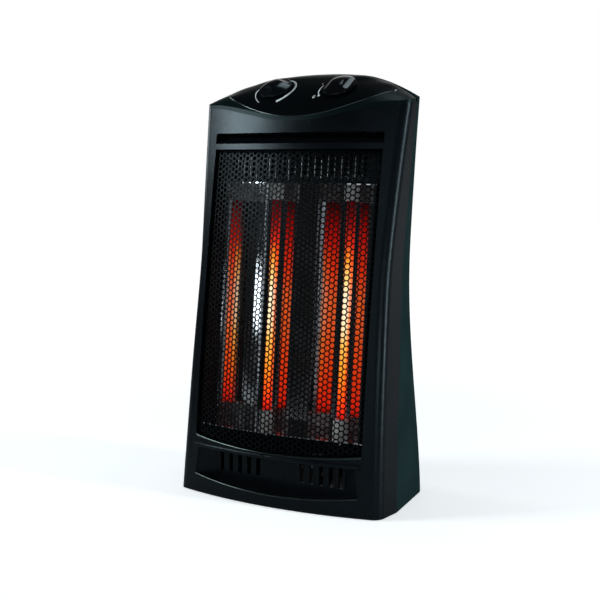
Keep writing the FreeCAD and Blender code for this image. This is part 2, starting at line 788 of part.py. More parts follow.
def knob(rest_deg):
    """Low dome with two finger scoops that leave a grip bar across it."""
    base = KNOB_LIFT
    rise = KNOB_HEIGHT - KNOB_EDGE
    dome_radius = (KNOB_RADIUS ** 2 + rise ** 2) / (2 * rise)
    dome = Part.makeSphere(dome_radius, Vector(0, 0, base + KNOB_HEIGHT - dome_radius))
    body = upright(KNOB_RADIUS, base, base + KNOB_HEIGHT).common(dome)
    scoops = []
    for side in (-1, 1):
        x = side * (KNOB_GRIP_WIDTH / 2 + KNOB_SCOOP_RADIUS)
        z = base + KNOB_SCOOP_FLOOR + KNOB_SCOOP_RADIUS
        start = Vector(x, -KNOB_RADIUS * 2, z)
        scoops.append(rod(KNOB_SCOOP_RADIUS, start, start - FRONT * (KNOB_RADIUS * 4)))
    body = body.cut(Part.makeCompound(scoops))
    body = body.cut(upright(KNOB_CAVITY_RADIUS, 0, base + KNOB_CAVITY))
    body = body.cut(upright(SPINDLE_RADIUS + SPINDLE_RUN_GAP, 0, SPINDLE_TOP))
    body.rotate(Vector(0, 0, 0), UP, rest_deg)
    return body


def spindle():
    flat = SPINDLE_TOP - SPINDLE_RUN_GAP
    return upright(SPINDLE_RADIUS, -DIAL_PAD_DEPTH - SPINDLE_DEPTH, flat)


def control_body(block):
    """Switch body hung under the panel by its bush."""
    bush = upright(BUSH_RADIUS, -DIAL_PAD_DEPTH, DIAL_PAD_LIFT + BUSH_LENGTH)
    bore = upright(SPINDLE_RADIUS + SPINDLE_RUN_GAP, -DIAL_PAD_DEPTH - SPINDLE_DEPTH - FIT_GAP, OVERRUN)
    return block.fuse(bush).removeSplitter().cut(bore)


def thermostat_body():
    half = THERMOSTAT_SIZE / 2
    top = -DIAL_PAD_DEPTH
    return control_body(box(Vector(-half, -half, top - THERMOSTAT_HEIGHT), Vector(half, half, top)))


def selector_switch_body():
    top = -DIAL_PAD_DEPTH
    return control_body(upright(SWITCH_RADIUS, top - SWITCH_HEIGHT, top))


def bush_nut():
    points = [Vector(NUT_RADIUS * math.cos(math.pi * k / 3), NUT_RADIUS * math.sin(math.pi * k / 3), DIAL_PAD_LIFT)
              for k in range(6)]
    return polygon_prism(points, UP * NUT_HEIGHT).cut(upright(BUSH_RADIUS + SPINDLE_RUN_GAP, 0, OVERRUN))


# Heating chamber

def chamber_front_cut():
    """Everything in front of the back of the guard."""
    return guard_block(GUARD_SHEET + FIT_GAP - CASE_DEPTH, CASE_DEPTH)


def end_plate(low, holes_radius):
    plan = [
        Vector(CHAMBER_HALF_WIDTH, -CASE_DEPTH / 2, low),
        Vector(CHAMBER_HALF_WIDTH, -REFLECTOR_FRONT, low),
        Vector(SHIELD_HALF_WIDTH, SHIELD_SETBACK, low),
    ]
    plate = polygon_prism(plan + [flip(point) for point in reversed(plan)], UP * SHEET)
    holes = []
    for side in (-1, 1):
        x = side * TUBE_SPACING / 2
        holes.append(rod(holes_radius, Vector(x, 0, low - SHEET), Vector(x, 0, low + SHEET * 2)))
    plate = in_chamber(plate.cut(Part.makeCompound(holes)))
    return plate.cut(front_clearance)


front_clearance = chamber_front_cut()


def chamber_side():
    """Dark side wall of the chamber with two ears for its screws; +X side."""
    inner = CHAMBER_HALF_WIDTH
    wall = box(Vector(inner, -CASE_DEPTH / 2, -SHEET), Vector(inner + SHEET, -REFLECTOR_FRONT, CHAMBER_LENGTH + SHEET))
    ears = []
    for w in (TAB_LOW, TAB_HIGH):
        low = Vector(inner, -REFLECTOR_FRONT - SHEET, w)
        high = Vector(inner + TAB_WIDTH, -REFLECTOR_FRONT, w + TAB_HEIGHT)
        ears.append(box(low, high))
    side = in_chamber(fuse_all([wall] + ears)).cut(front_clearance)
    holes = [rod(SCREW_RADIUS + FIT_GAP, seat, tip) for seat, tip in post_screw_lines()]
    side = side.cut(Part.makeCompound(holes))
    return side.common(case_block(front_section, WALL + FIT_GAP, WALL * 2))


def hollow_wall(start, end, hollow):
    """Arc from start to end that stands off their straight line, to the right of the way along it."""
    along = end - start
    aside = Vector(along.y, -along.x, 0).normalize()
    return Part.Arc(start, (start + end) / 2 + aside * hollow, end).toShape()


def reflector():
    """Bent bright sheet: two troughs with hollow walls and a flat ridge between them."""
    rim = Vector(REFLECTOR_FRONT_HALF_WIDTH + SHEET, -REFLECTOR_FRONT, 0)
    lip = Vector(REFLECTOR_FRONT_HALF_WIDTH, -REFLECTOR_FRONT, 0)
    outer = Vector(TROUGH_OUTER, TROUGH_DEPTH, 0)
    inner = Vector(TROUGH_INNER, TROUGH_DEPTH, 0)
    ridge = Vector(RIDGE_HALF_WIDTH, -RIDGE_STAND, 0)
    front = [
        line(rim, lip),
        hollow_wall(lip, outer, OUTER_WALL_HOLLOW),
        line(outer, inner),
        hollow_wall(inner, ridge, INNER_WALL_HOLLOW),
        line(ridge, flip(ridge)),
        hollow_wall(flip(ridge), flip(inner), INNER_WALL_HOLLOW),
        line(flip(inner), flip(outer)),
        hollow_wall(flip(outer), flip(lip), OUTER_WALL_HOLLOW),
        line(flip(lip), flip(rim)),
    ]
    thickness = Vector(0, REFLECTOR_SHEET, 0)
    back = [edge.translated(thickness) for edge in front]
    ends = [line(rim, rim + thickness), line(flip(rim), flip(rim) + thickness)]
    ring = Part.Wire(Part.__sortEdges__(front + back + ends))
    return in_chamber(Part.Face(ring).extrude(UP * CHAMBER_LENGTH))


def heat_shield():
    low = Vector(-SHIELD_HALF_WIDTH, SHIELD_SETBACK, -CAP_SPIGOT)
    high = Vector(SHIELD_HALF_WIDTH, SHIELD_SETBACK + SHEET, CHAMBER_LENGTH + SHIELD_TOP)
    return in_chamber(box(low, high))


def tube_x(side):
    return side * TUBE_SPACING / 2


def quartz_tube(side):
    low = Vector(tube_x(side), 0, TUBE_END_GAP)
    high = Vector(tube_x(side), 0, CHAMBER_LENGTH - TUBE_END_GAP)
    return in_chamber(rod(TUBE_RADIUS, low, high).cut(rod(TUBE_RADIUS - TUBE_WALL, low, high)))


def ceramic_cap(side, upper):
    """Stepped ceramic cap: a pocket for the tube's end and a spigot through the end plate."""
    x = tube_x(side)
    body = rod(CAP_RADIUS, Vector(x, 0, 0), Vector(x, 0, CAP_HEIGHT))
    spigot = rod(CAP_SPIGOT_RADIUS, Vector(x, 0, 0), Vector(x, 0, -CAP_SPIGOT))
    pocket = rod(TUBE_RADIUS + SPINDLE_RUN_GAP, Vector(x, 0, TUBE_END_GAP), Vector(x, 0, CAP_HEIGHT * 2))
    bore = rod(TERMINAL_RADIUS + SPINDLE_RUN_GAP, Vector(x, 0, -CAP_SPIGOT), Vector(x, 0, CAP_HEIGHT))
    cap = fuse_all([body, spigot]).cut(pocket).cut(bore)
    if upper:
        cap = cap.mirror(Vector(0, 0, CHAMBER_LENGTH / 2), UP)
    return in_chamber(cap)


def terminals():
    """Terminal pins that hold the coil's ends in the ceramic caps."""
    pins = []
    for side in (-1, 1):
        x = tube_x(side)
        low = -CAP_SPIGOT - TERMINAL_LENGTH
        pin = rod(TERMINAL_RADIUS, Vector(x, 0, low), Vector(x, 0, CAP_POCKET))
        pins.append(in_chamber(pin))
        pins.append(in_chamber(pin.mirror(Vector(0, 0, CHAMBER_LENGTH / 2), UP)))
    return Part.makeCompound(pins)


def biarc(p0, t0, p1, t1):
    """Two tangent arcs from p0 along t0 to p1 along t1."""
    chord = p1 - p0
    total = t0 + t1
    bend = 2 * (1 - t0.dot(t1))
    along = chord.dot(total)
    reach = (-along + math.sqrt(along ** 2 + bend * chord.dot(chord))) / bend
    joint = (p0 + t0 * reach + p1 - t1 * reach) / 2
    return [arc_along(p0, t0, joint), arc_along(p1, t1 * -1, joint)]


def arc_along(start, tangent, end):
    chord = end - start
    aside = (tangent - chord * (tangent.dot(chord) / chord.dot(chord))).normalize()
    angle = tangent.getAngle(chord)
    middle = start + chord / 2 + aside * (chord.Length / 2 * math.tan(angle / 2))
    return Part.Arc(start, middle, end).toShape()


def helix(x, y, radius, low, high, turns, wire):
    """Round-wire helix with straight ends one wire diameter long."""
    pitch = (high - low) / turns
    steps = turns * 4
    points = []
    tangents = []
    for k in range(steps + 1):
        angle = math.pi * k / 2
        points.append(Vector(x + radius * math.cos(angle), y + radius * math.sin(angle), low + pitch * k / 4))
        tangent = Vector(-radius * math.sin(angle), radius * math.cos(angle), pitch / (2 * math.pi))
        tangents.append(tangent.normalize())
    lead = points[0] - tangents[0] * (wire * 2)
    tail = points[-1] + tangents[-1] * (wire * 2)
    edges = [line(lead, points[0])]
    for k in range(steps):
        edges.extend(biarc(points[k], tangents[k], points[k + 1], tangents[k + 1]))
    edges.append(line(points[-1], tail))
    path = Part.Wire(Part.__sortEdges__(edges))
    ring = Part.Wire([Part.makeCircle(wire, lead, tangents[0])])
    coil = path.makePipeShell([ring], True, False)
    print("helix turns", turns, "least gap", round(pitch * math.cos(math.atan(
        pitch / (2 * math.pi * radius))) - wire * 2, 2), "volume share",
        round(coil.Volume / (math.pi * wire ** 2 * path.Length), 4))
    return coil


def heating_coil(side):
    low = CAP_POCKET + COIL_WIRE * 2
    high = CHAMBER_LENGTH - CAP_POCKET - COIL_WIRE * 2
    return in_chamber(helix(tube_x(side), 0, COIL_RADIUS, low, high, COIL_TURNS, COIL_WIRE))


def outlet_louvre():
    """Upright grille that closes the space above the chamber behind the guard."""
    low = CHAMBER_LENGTH + SHEET
    half = CHAMBER_HALF_WIDTH
    plate = box(Vector(-half, -LOUVRE_SETBACK - LOUVRE_SHEET, low), Vector(half, -LOUVRE_SETBACK, low + LOUVRE_HEIGHT))
    slots = []
    for k in range(LOUVRE_SLOTS):
        x = (k - (LOUVRE_SLOTS - 1) / 2) * LOUVRE_PITCH
        start = Vector(x - LOUVRE_SLOT_WIDTH / 2, -LOUVRE_SETBACK - LOUVRE_SHEET * 2, low + LOUVRE_RAIL)
        end = Vector(x + LOUVRE_SLOT_WIDTH / 2, -LOUVRE_SETBACK + LOUVRE_SHEET, low + LOUVRE_HEIGHT - LOUVRE_RAIL)
        slots.append(box(start, end))
    return in_chamber(plate.cut(Part.makeCompound(slots)))


def thermal_cutout():
    back = TROUGH_DEPTH + REFLECTOR_SHEET
    start = Vector(CUTOUT_X, back, CUTOUT_HEIGHT)
    shell = rod(CUTOUT_RADIUS, start, start - FRONT * (SHIELD_SETBACK - back))
    flange = box(start + Vector(-CUTOUT_FLANGE_REACH, 0, -CUTOUT_RADIUS / 2),
                 start + Vector(CUTOUT_FLANGE_REACH, CUTOUT_FLANGE, CUTOUT_RADIUS / 2))
    return in_chamber(fuse_all([shell, flange]))


# Base, feet and tip-over switch

def base_plate():
    inset = WALL + FIT_GAP
    plan = case_block(front_section, inset, WALL).fuse(case_block(rear_section, inset, WALL))
    slab = box(Vector(-CASE_DEPTH, -CASE_DEPTH, FLOOR_GAP), Vector(CASE_DEPTH, CASE_DEPTH, FLOOR_GAP + BASE_SHEET))
    plate = plan.common(slab)
    holes = [rod(SCREW_RADIUS + FIT_GAP, s, t) for s, t in front_base_screw_lines() + rear_base_screw_lines()]
    tip = Vector(0, depth(TIP_SETBACK), 0)
    holes.append(rod(TIP_RADIUS + FIT_GAP, tip, tip + UP * OVERRUN))
    return plate.cut(Part.makeCompound(holes)).removeSplitter()


def rubber_feet():
    feet = []
    for side in (-1, 1):
        for setback in (FOOT_FRONT, FOOT_REAR):
            start = Vector(side * FOOT_X, depth(setback), 0)
            feet.append(rod(FOOT_RADIUS, start, start + UP * FLOOR_GAP))
    return Part.makeCompound(feet)


def tip_rod(radius, low, high):
    start = Vector(0, depth(TIP_SETBACK), low)
    return rod(radius, start, start + UP * (high - low))


def tip_switch_body():
    y = depth(TIP_SETBACK)
    low = FLOOR_GAP + BASE_SHEET
    roof = TIP_ROOF + TIP_ROOF_SHEET
    body = box(Vector(-TIP_BODY_HALF_WIDTH, y - TIP_BODY_HALF_DEPTH, low),
               Vector(TIP_BODY_HALF_WIDTH, y + TIP_BODY_HALF_DEPTH, roof))
    pin_z = lever_pin_height()
    ears = []
    for side in (-1, 1):
        inner = side * (LEVER_WIDTH / 2 + FIT_GAP)
        outer = inner + side * LEVER_EAR
        ears.append(box(Vector(min(inner, outer), y + LEVER_ARM - LEVER_EYE_RADIUS * 2, low),
                        Vector(max(inner, outer), y + LEVER_ARM + LEVER_EYE_RADIUS, pin_z + LEVER_EYE_RADIUS)))
    web = box(Vector(-LEVER_WIDTH, y + TIP_BODY_HALF_DEPTH - LEVER_EAR, low),
              Vector(LEVER_WIDTH, y + LEVER_ARM, low + LEVER_EAR))
    body = fuse_all([body, web] + ears)
    body = body.cut(tip_rod(TIP_POCKET_RADIUS, 0, TIP_ROOF)).cut(tip_rod(TIP_RADIUS + TIP_GAP, 0, TIP_TOP))
    return body.cut(lever_pin_rod(LEVER_PIN_RADIUS))


def lever_pin_height():
    return TIP_TOP + FIT_GAP + LEVER_SHEET / 2


def lever_pin_rod(radius):
    half = LEVER_WIDTH / 2 + FIT_GAP + LEVER_EAR
    start = Vector(-half, depth(TIP_SETBACK) + LEVER_ARM, lever_pin_height())
    return rod(radius, start, flip(start))


def tip_lever():
    y = depth(TIP_SETBACK)
    z = lever_pin_height()
    arm = box(Vector(-LEVER_WIDTH / 2, y - LEVER_REACH, z - LEVER_SHEET / 2),
              Vector(LEVER_WIDTH / 2, y + LEVER_ARM, z + LEVER_SHEET / 2))
    start = Vector(-LEVER_WIDTH / 2, y + LEVER_ARM, z)
    eye = rod(LEVER_EYE_RADIUS, start, flip(start))
    return fuse_all([arm, eye]).cut(lever_pin_rod(LEVER_PIN_RADIUS + LEVER_PIN_GAP))


def tip_microswitch():
    y = depth(TIP_SETBACK)
    low = FLOOR_GAP + BASE_SHEET
    x = TIP_BODY_HALF_WIDTH
    return box(Vector(x, y - TIP_BODY_HALF_DEPTH, low),
               Vector(x + MICROSWITCH_WIDTH, y + TIP_BODY_HALF_DEPTH, low + MICROSWITCH_HEIGHT))


def tip_plunger():
    stem = tip_rod(TIP_RADIUS, 0, TIP_TOP - TIP_NUB)
    nub = tip_rod(TIP_NUB_RADIUS, TIP_TOP - TIP_NUB, TIP_TOP)
    collar = tip_rod(TIP_COLLAR_RADIUS, TIP_COLLAR_BASE, TIP_COLLAR_BASE + TIP_COLLAR_HEIGHT)
    return fuse_all([stem, nub, collar])


def tip_spring():
    low = TIP_COLLAR_BASE + TIP_COLLAR_HEIGHT + TIP_SPRING_WIRE + FIT_GAP
    high = TIP_ROOF - TIP_SPRING_WIRE - FIT_GAP
    return helix(0, depth(TIP_SETBACK), TIP_SPRING_RADIUS, low, high, TIP_SPRING_TURNS, TIP_SPRING_WIRE)


# Cord gland and terminal block

def cord_gland():
    outside = Vector(GLAND_X, rear_y(GLAND_HEIGHT) + REAR_BOW, GLAND_HEIGHT)
    inside = outside + FRONT * (WALL * 2 + REAR_BOW + GLAND_FLANGE)
    neck = rod(GLAND_RADIUS, inside, outside)
    rim = rod(GLAND_FLANGE_RADIUS, inside, inside + FRONT * GLAND_FLANGE)
    bore = rod(GLAND_BORE, inside + FRONT * OVERRUN, outside - FRONT * OVERRUN)
    return fuse_all([neck, rim]).cut(bore)


def terminal_block():
    low = Vector(-BLOCK_WIDTH / 2, depth(BLOCK_SETBACK), FLOOR_GAP + BASE_SHEET)
    block = box(low, low + Vector(BLOCK_WIDTH, BLOCK_DEPTH, BLOCK_HEIGHT))
    pockets = []
    for k in range(3):
        x = low.x + BLOCK_WIDTH * (k + 1 / 2) / 3
        start = Vector(x, low.y + BLOCK_DEPTH / 2, low.z + BLOCK_HEIGHT / 2)
        pockets.append(rod(TERMINAL_RADIUS * 2, start, start + UP * BLOCK_HEIGHT))
    return block.cut(Part.makeCompound(pockets))


def build():
    export("front_bezel", front_bezel())
    export("rear_cover", rear_cover())
    export("top_trim", top_trim())
    export("control_panel", control_panel())
    export("guard_mesh", guard_mesh())
    for name, side in (("thermostat", -1), ("selector", 1)):
        rest = THERMOSTAT_REST_DEG if side < 0 else SELECTOR_REST_DEG
        body = thermostat_body() if side < 0 else selector_switch_body()
        export(name + "_knob", at_seat(knob(rest), side))
        export(name + "_spindle", at_seat(spindle(), side))
        export(name + "_body", at_seat(body, side))
        export(name + "_nut", at_seat(bush_nut(), side))
    export("chamber_floor", end_plate(-SHEET, CAP_SPIGOT_RADIUS + FIT_GAP))
    export("chamber_roof", end_plate(CHAMBER_LENGTH, CAP_SPIGOT_RADIUS + FIT_GAP))
    export("chamber_side_right", chamber_side())
    export("chamber_side_left", mirrored(chamber_side()))
    export("reflector", reflector())
    export("heat_shield", heat_shield())
    for name, side in (("left", -1), ("right", 1)):
        export("quartz_tube_" + name, quartz_tube(side))
        export("heating_coil_" + name, heating_coil(side))
        export("lower_cap_" + name, ceramic_cap(side, False))
        export("upper_cap_" + name, ceramic_cap(side, True))
    export("element_terminals", terminals())
    export("outlet_louvre", outlet_louvre())
    export("thermal_cutout", thermal_cutout())
    export("base_plate", base_plate())
    export("rubber_feet", rubber_feet())
    export("tip_switch_body", tip_switch_body())
    export("tip_microswitch", tip_microswitch())
    export("tip_plunger", tip_plunger())
    export("tip_spring", tip_spring())
    export("tip_lever", tip_lever())
    export("tip_lever_pin", lever_pin_rod(LEVER_PIN_RADIUS))
    export("cord_gland", cord_gland())
    export("terminal_block", terminal_block())
    export("case_screws", screws(case_screw_lines()))
    export("chamber_screws", screws(post_screw_lines()))
    export("base_screws", screws(front_base_screw_lines() + rear_base_screw_lines()))


build()
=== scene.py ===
import logging
import math
from dataclasses import dataclass
from enum import Enum

import bpy
import numpy as np
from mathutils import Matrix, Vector


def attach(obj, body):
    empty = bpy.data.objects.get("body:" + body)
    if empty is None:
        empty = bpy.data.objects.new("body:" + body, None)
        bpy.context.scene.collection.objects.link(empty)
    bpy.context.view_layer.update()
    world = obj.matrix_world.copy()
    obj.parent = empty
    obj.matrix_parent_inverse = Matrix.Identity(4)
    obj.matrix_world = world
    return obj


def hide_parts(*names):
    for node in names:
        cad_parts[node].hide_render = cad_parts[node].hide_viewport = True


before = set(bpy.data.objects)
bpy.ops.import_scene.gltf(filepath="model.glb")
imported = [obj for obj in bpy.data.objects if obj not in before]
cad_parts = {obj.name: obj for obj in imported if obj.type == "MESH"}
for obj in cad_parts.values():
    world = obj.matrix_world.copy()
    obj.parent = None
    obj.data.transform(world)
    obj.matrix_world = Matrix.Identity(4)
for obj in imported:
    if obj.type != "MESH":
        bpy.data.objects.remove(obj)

log = logging.getLogger("tower_heater")
Socket = bpy.types.NodeSocket
Range = tuple[float, float]
Triple = tuple[float, float, float]
Colour = tuple[float, float, float]
Stop = tuple[float, Colour]
MM = 0.001
HEXAGON = 6
WHITE: Colour = (1, 1, 1)
# A path that rises by more than this share of its length takes its guide from y, not from z.
STEEP_SHARE = 0.9
# Most values of a noise lie in this range.
NOISE_SPAN: Range = (0.3, 0.7)
# Sockets of a Mix node's colours, whose names its other kinds of value share.
MIX_FIRST_COLOUR = 6
MIX_SECOND_COLOUR = 7
MIX_COLOUR_RESULT = 2


class Body(Enum):
    """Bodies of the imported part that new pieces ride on."""

    CASE = "case"


class Side(Enum):
    """Left and right as someone sees them who faces the heater."""

    LEFT = -1
    RIGHT = 1


class Numeral(Enum):
    """Plain numbers printed beside the heat selector."""

    ZERO = 0
    ONE = 1
    TWO = 2


@dataclass(frozen=True)
class CaseForm:
    """Curves of the case that the pieces on it follow, in metres."""

    depth: float = 198 * MM
    base_half_width: float = 154 * MM
    waist_half_width: float = 145 * MM
    shoulder_half_width: float = 153.5 * MM
    waist_height: float = 315 * MM
    shoulder_height: float = 515 * MM
    front_bow: float = 21 * MM
    front_setback: float = 69 * MM
    wall: float = 3 * MM
    fit_gap: float = 0.3 * MM
    crest_height: float = 564 * MM
    arch_drop: float = 36 * MM
    crest_setback: float = 122 * MM
    crest_bow: float = 34 * MM
    front_edge_height: float = 508 * MM
    front_edge_rise: float = 14.5 * MM
    waist_bend_share: float = 1.25
    setback_line_share: float = 0.6
    arch_power_share: float = 2.6
    slope_line_share: float = 0.7
    slope_power_share: float = 4

    def behind_front(self, setback: float) -> float:
        """Y of a place that far behind the line of the front corners at the floor."""
        return self.front_bow - self.depth / 2 + setback

    def half_width(self, z: np.ndarray) -> np.ndarray:
        """Half width of the front at a height: a waist that flares by a power law both ways.

        Args:
            z: heights.

        Returns:
            Half widths.
        """
        below = z < self.waist_height
        span = np.where(below, self.waist_height, self.shoulder_height - self.waist_height)
        wide = np.where(below, self.base_half_width, self.shoulder_half_width)
        run = np.abs(z - self.waist_height) / span
        return self.waist_half_width + (wide - self.waist_half_width) * run ** self.waist_bend_share

    def front_y(self, z: np.ndarray) -> np.ndarray:
        """Y of the front corners: part of the lean grows with the height, the rest with its square.

        Args:
            z: heights.

        Returns:
            Y values.
        """
        run = z / self.shoulder_height
        share = self.setback_line_share
        return self.behind_front(0) + self.front_setback * (share * run + (1 - share) * run * np.abs(run))

    def face_y(self, x: np.ndarray, z: np.ndarray) -> np.ndarray:
        """Y of the bowed front face: the corner line less a parabola across the width.

        Args:
            x: places across.
            z: heights.

        Returns:
            Y values.
        """
        return self.front_y(z) - self.front_bow * (1 - (x / self.half_width(z)) ** 2)

    def inner_face_y(self, x: np.ndarray, z: np.ndarray) -> np.ndarray:
        """Y of the inside of the front wall, by the same parabola one wall further in.

        Args:
            x: places across.
            z: heights.

        Returns:
            Y values.
        """
        across = x / (self.half_width(z) - self.wall)
        return self.front_y(z) + self.wall - self.front_bow * (1 - across ** 2)

    def crest_y(self, x: np.ndarray) -> np.ndarray:
        """Y of the crest: a circular arc in plan, furthest back in the middle.

        Args:
            x: places across.

        Returns:
            Y values.
        """
        radius = (self.shoulder_half_width ** 2 + self.crest_bow ** 2) / (2 * self.crest_bow)
        return self.behind_front(self.crest_setback) - radius + np.sqrt(radius ** 2 - x ** 2)

    def crown_z(self, x: np.ndarray, y: np.ndarray) -> np.ndarray:
        """Height of the crown: an arch at the crest that falls forward to the dipped edge.

        The fall is part straight and part a high power, so it steepens, and runs on straight past the edge.

        Args:
            x: places across.
            y: places from front to back, none behind the crest.

        Returns:
            Heights.
        """
        u = np.abs(x) / self.shoulder_half_width
        arch = self.crest_height - self.arch_drop * u ** self.arch_power_share
        edge = self.front_edge_height + self.front_edge_rise * (1 - np.cos(np.pi * np.minimum(u, 1))) / 2
        brow = self.front_y(np.asarray(self.shoulder_height)) - self.front_bow * (1 - u * u)
        crest = self.crest_y(x)
        run = np.maximum((crest - y) / (crest - brow), 0)
        power = self.slope_power_share
        bend = np.where(run < 1, run ** power, 1 + power * (run - 1))
        fall = self.slope_line_share * run + (1 - self.slope_line_share) * bend
        return arch - (arch - edge) * fall


@dataclass(frozen=True)
class ChamberFrame:
    """Leaning frame of the heating chamber: x across, v to the back, w up along the tubes."""

    form: CaseForm
    setback: float = 71 * MM
    floor_height: float = 88 * MM
    length: float = 326 * MM
    lean: float = math.radians(5.4)
    tube_spacing: float = 117 * MM

    @property
    def origin(self) -> np.ndarray:
        """Foot of the frame on the chamber's floor."""
        return np.array([0, self.form.behind_front(self.setback), self.floor_height])

    @property
    def along(self) -> np.ndarray:
        """Unit vector up the tubes."""
        return np.array([0, math.sin(self.lean), math.cos(self.lean)])

    @property
    def back(self) -> np.ndarray:
        """Unit vector from the front of the chamber to its back."""
        return np.array([0, math.cos(self.lean), -math.sin(self.lean)])

    def place(self, x: np.ndarray, v: np.ndarray, w: np.ndarray) -> np.ndarray:
        """Turns chamber coordinates into the part's: the frame's foot plus each of them along its axis.

        Args:
            x: places across.
            v: places towards the back.
            w: places up the tubes.

        Returns:
            Points, with the last axis of length 3.
        """
        x, v, w = np.broadcast_arrays(x, v, w)
        across = np.array([1, 0, 0])
        return self.origin + x[..., None] * across + v[..., None] * self.back + w[..., None] * self.along


class Surface:
    """Makes mesh objects from arrays of points."""

    @staticmethod
    def from_faces(name: str, points: np.ndarray, faces: np.ndarray, smooth: bool,
                   caps: tuple[np.ndarray, ...] = ()) -> bpy.types.Object:
        """Makes an object whose mesh has these points, quads and other faces.

        Args:
            name: the piece's name.
            points: an n by 3 array.
            faces: an m by 4 array of point numbers.
            smooth: whether faces are shaded smooth.
            caps: rows of point numbers that each become one more face, such as an end cap.

        Returns:
            The object, at the origin.
        """
        mesh = bpy.data.meshes.new(name)
        mesh.from_pydata(points.tolist(), [], faces.tolist() + [cap.tolist() for cap in caps])
        mesh.validate()
        mesh.polygons.foreach_set("use_smooth", np.full(len(mesh.polygons), smooth))
        mesh.update()
        piece = bpy.data.objects.new(name, mesh)
        bpy.context.scene.collection.objects.link(piece)
        return piece

    @staticmethod
    def grid_faces(rows: int, columns: int, close_rows: bool, close_columns: bool) -> np.ndarray:
        """Quads of a grid of points numbered row by row: each joins a point and its three next ones.

        Args:
            rows: number of rows.
            columns: number of columns.
            close_rows: whether the last row joins the first.
            close_columns: whether the last column joins the first.

        Returns:
            An m by 4 array of point numbers.
        """
        i = np.arange(rows if close_rows else rows - 1)[:, None]
        j = np.arange(columns if close_columns else columns - 1)[None, :]
        next_i = (i + 1) % rows
        next_j = (j + 1) % columns
        quads = np.stack(np.broadcast_arrays(
            i * columns + j, i * columns + next_j, next_i * columns + next_j, next_i * columns + j), axis=-1)
        return quads.reshape(-1, 4)

    @classmethod
    def tube(cls, name: str, path: np.ndarray, radius: float, sides: int) -> bpy.types.Object:
        """Carries a circle along a path: point = path + radius (cos a, sin a) in the path's own normal plane.

        Args:
            name: the piece's name.
            path: an n by 3 array of points.
            radius: the circle's radius.
            sides: number of points round the circle.

        Returns:
            The object, closed at both ends.
        """
        tangent = np.gradient(path, axis=0)
        tangent /= np.linalg.norm(tangent, axis=1, keepdims=True)
        steep = np.abs(tangent[:, 2:]) > STEEP_SHARE
        guide = np.where(steep, [[0.0, 1.0, 0.0]], [[0.0, 0.0, 1.0]])
        first = np.cross(tangent, guide)
        first /= np.linalg.norm(first, axis=1, keepdims=True)
        second = np.cross(tangent, first)
        angle = np.linspace(0, 2 * np.pi, sides, endpoint=False)
        ring = first[:, None] * np.cos(angle)[None, :, None] + second[:, None] * np.sin(angle)[None, :, None]
        points = path[:, None] + radius * ring
        faces = cls.grid_faces(len(path), sides, False, True)
        ring_numbers = np.arange(sides)
        caps = ring_numbers[::-1], ring_numbers + (len(path) - 1) * sides
        return cls.from_faces(name, points.reshape(-1, 3), faces, True, caps)


class NodeTree:
    """A node tree, with short names for the nodes that the finishes and the studio share."""

    def __init__(self, owner: bpy.types.Material | bpy.types.World) -> None:
        """Turns on an owner's nodes.

        Args:
            owner: the material or world that has the tree.
        """
        owner.use_nodes = True
        self.nodes = owner.node_tree.nodes
        self.links = owner.node_tree.links

    def calculate(self, operation: str, first: Socket, second: Socket) -> Socket:
        """Result of a Math node.

        Args:
            operation: what it does with the two values.
            first: the first value.
            second: the second value.

        Returns:
            The value socket.
        """
        node = self.nodes.new("ShaderNodeMath")
        node.operation = operation
        self.links.new(first, node.inputs[0])
        self.links.new(second, node.inputs[1])
        return node.outputs["Value"]

    def along(self, vector: Socket, axis: np.ndarray) -> Socket:
        """How far a vector reaches along an axis: their dot product.

        Args:
            vector: the vector socket.
            axis: unit vector.

        Returns:
            The value socket.
        """
        node = self.nodes.new("ShaderNodeVectorMath")
        node.operation = "DOT_PRODUCT"
        node.inputs[1].default_value = tuple(axis)
        self.links.new(vector, node.inputs[0])
        return node.outputs["Value"]

    def remap(self, value: Socket, source: Range, target: Range = (0, 1), smooth: bool = False) -> Socket:
        """Maps a value from one range to another and holds it to the ends.

        Args:
            value: the socket that drives it.
            source: first and last value.
            target: results at those two.
            smooth: whether the change eases in and out.

        Returns:
            The value socket.
        """
        node = self.nodes.new("ShaderNodeMapRange")
        node.interpolation_type = "SMOOTHSTEP" if smooth else "LINEAR"
        for name, number in zip(("From Min", "From Max", "To Min", "To Max"), (*source, *target)):
            node.inputs[name].default_value = number
        self.links.new(value, node.inputs["Value"])
        return node.outputs["Result"]

    def seen_rays(self, behind: Socket, gloss_range: Range) -> Socket:
        """One for rays that see the white sweep, zero for those that only light the object.

        The eye sees the sweep all round; gloss and glass see it where it stands behind the object.

        Args:
            behind: vector whose y points to the back.
            gloss_range: y at which gloss begins to see the sweep, and y from which it sees it in full.

        Returns:
            The value socket.
        """
        axes = self.nodes.new("ShaderNodeSeparateXYZ")
        self.links.new(behind, axes.inputs["Vector"])
        share = self.remap(axes.outputs["Y"], gloss_range, smooth=True)
        ray = self.nodes.new("ShaderNodeLightPath")
        bounced = self.calculate("MAXIMUM", ray.outputs["Is Glossy Ray"], ray.outputs["Is Transmission Ray"])
        shown = self.calculate("MULTIPLY", share, bounced)
        return self.calculate("MAXIMUM", ray.outputs["Is Camera Ray"], shown)


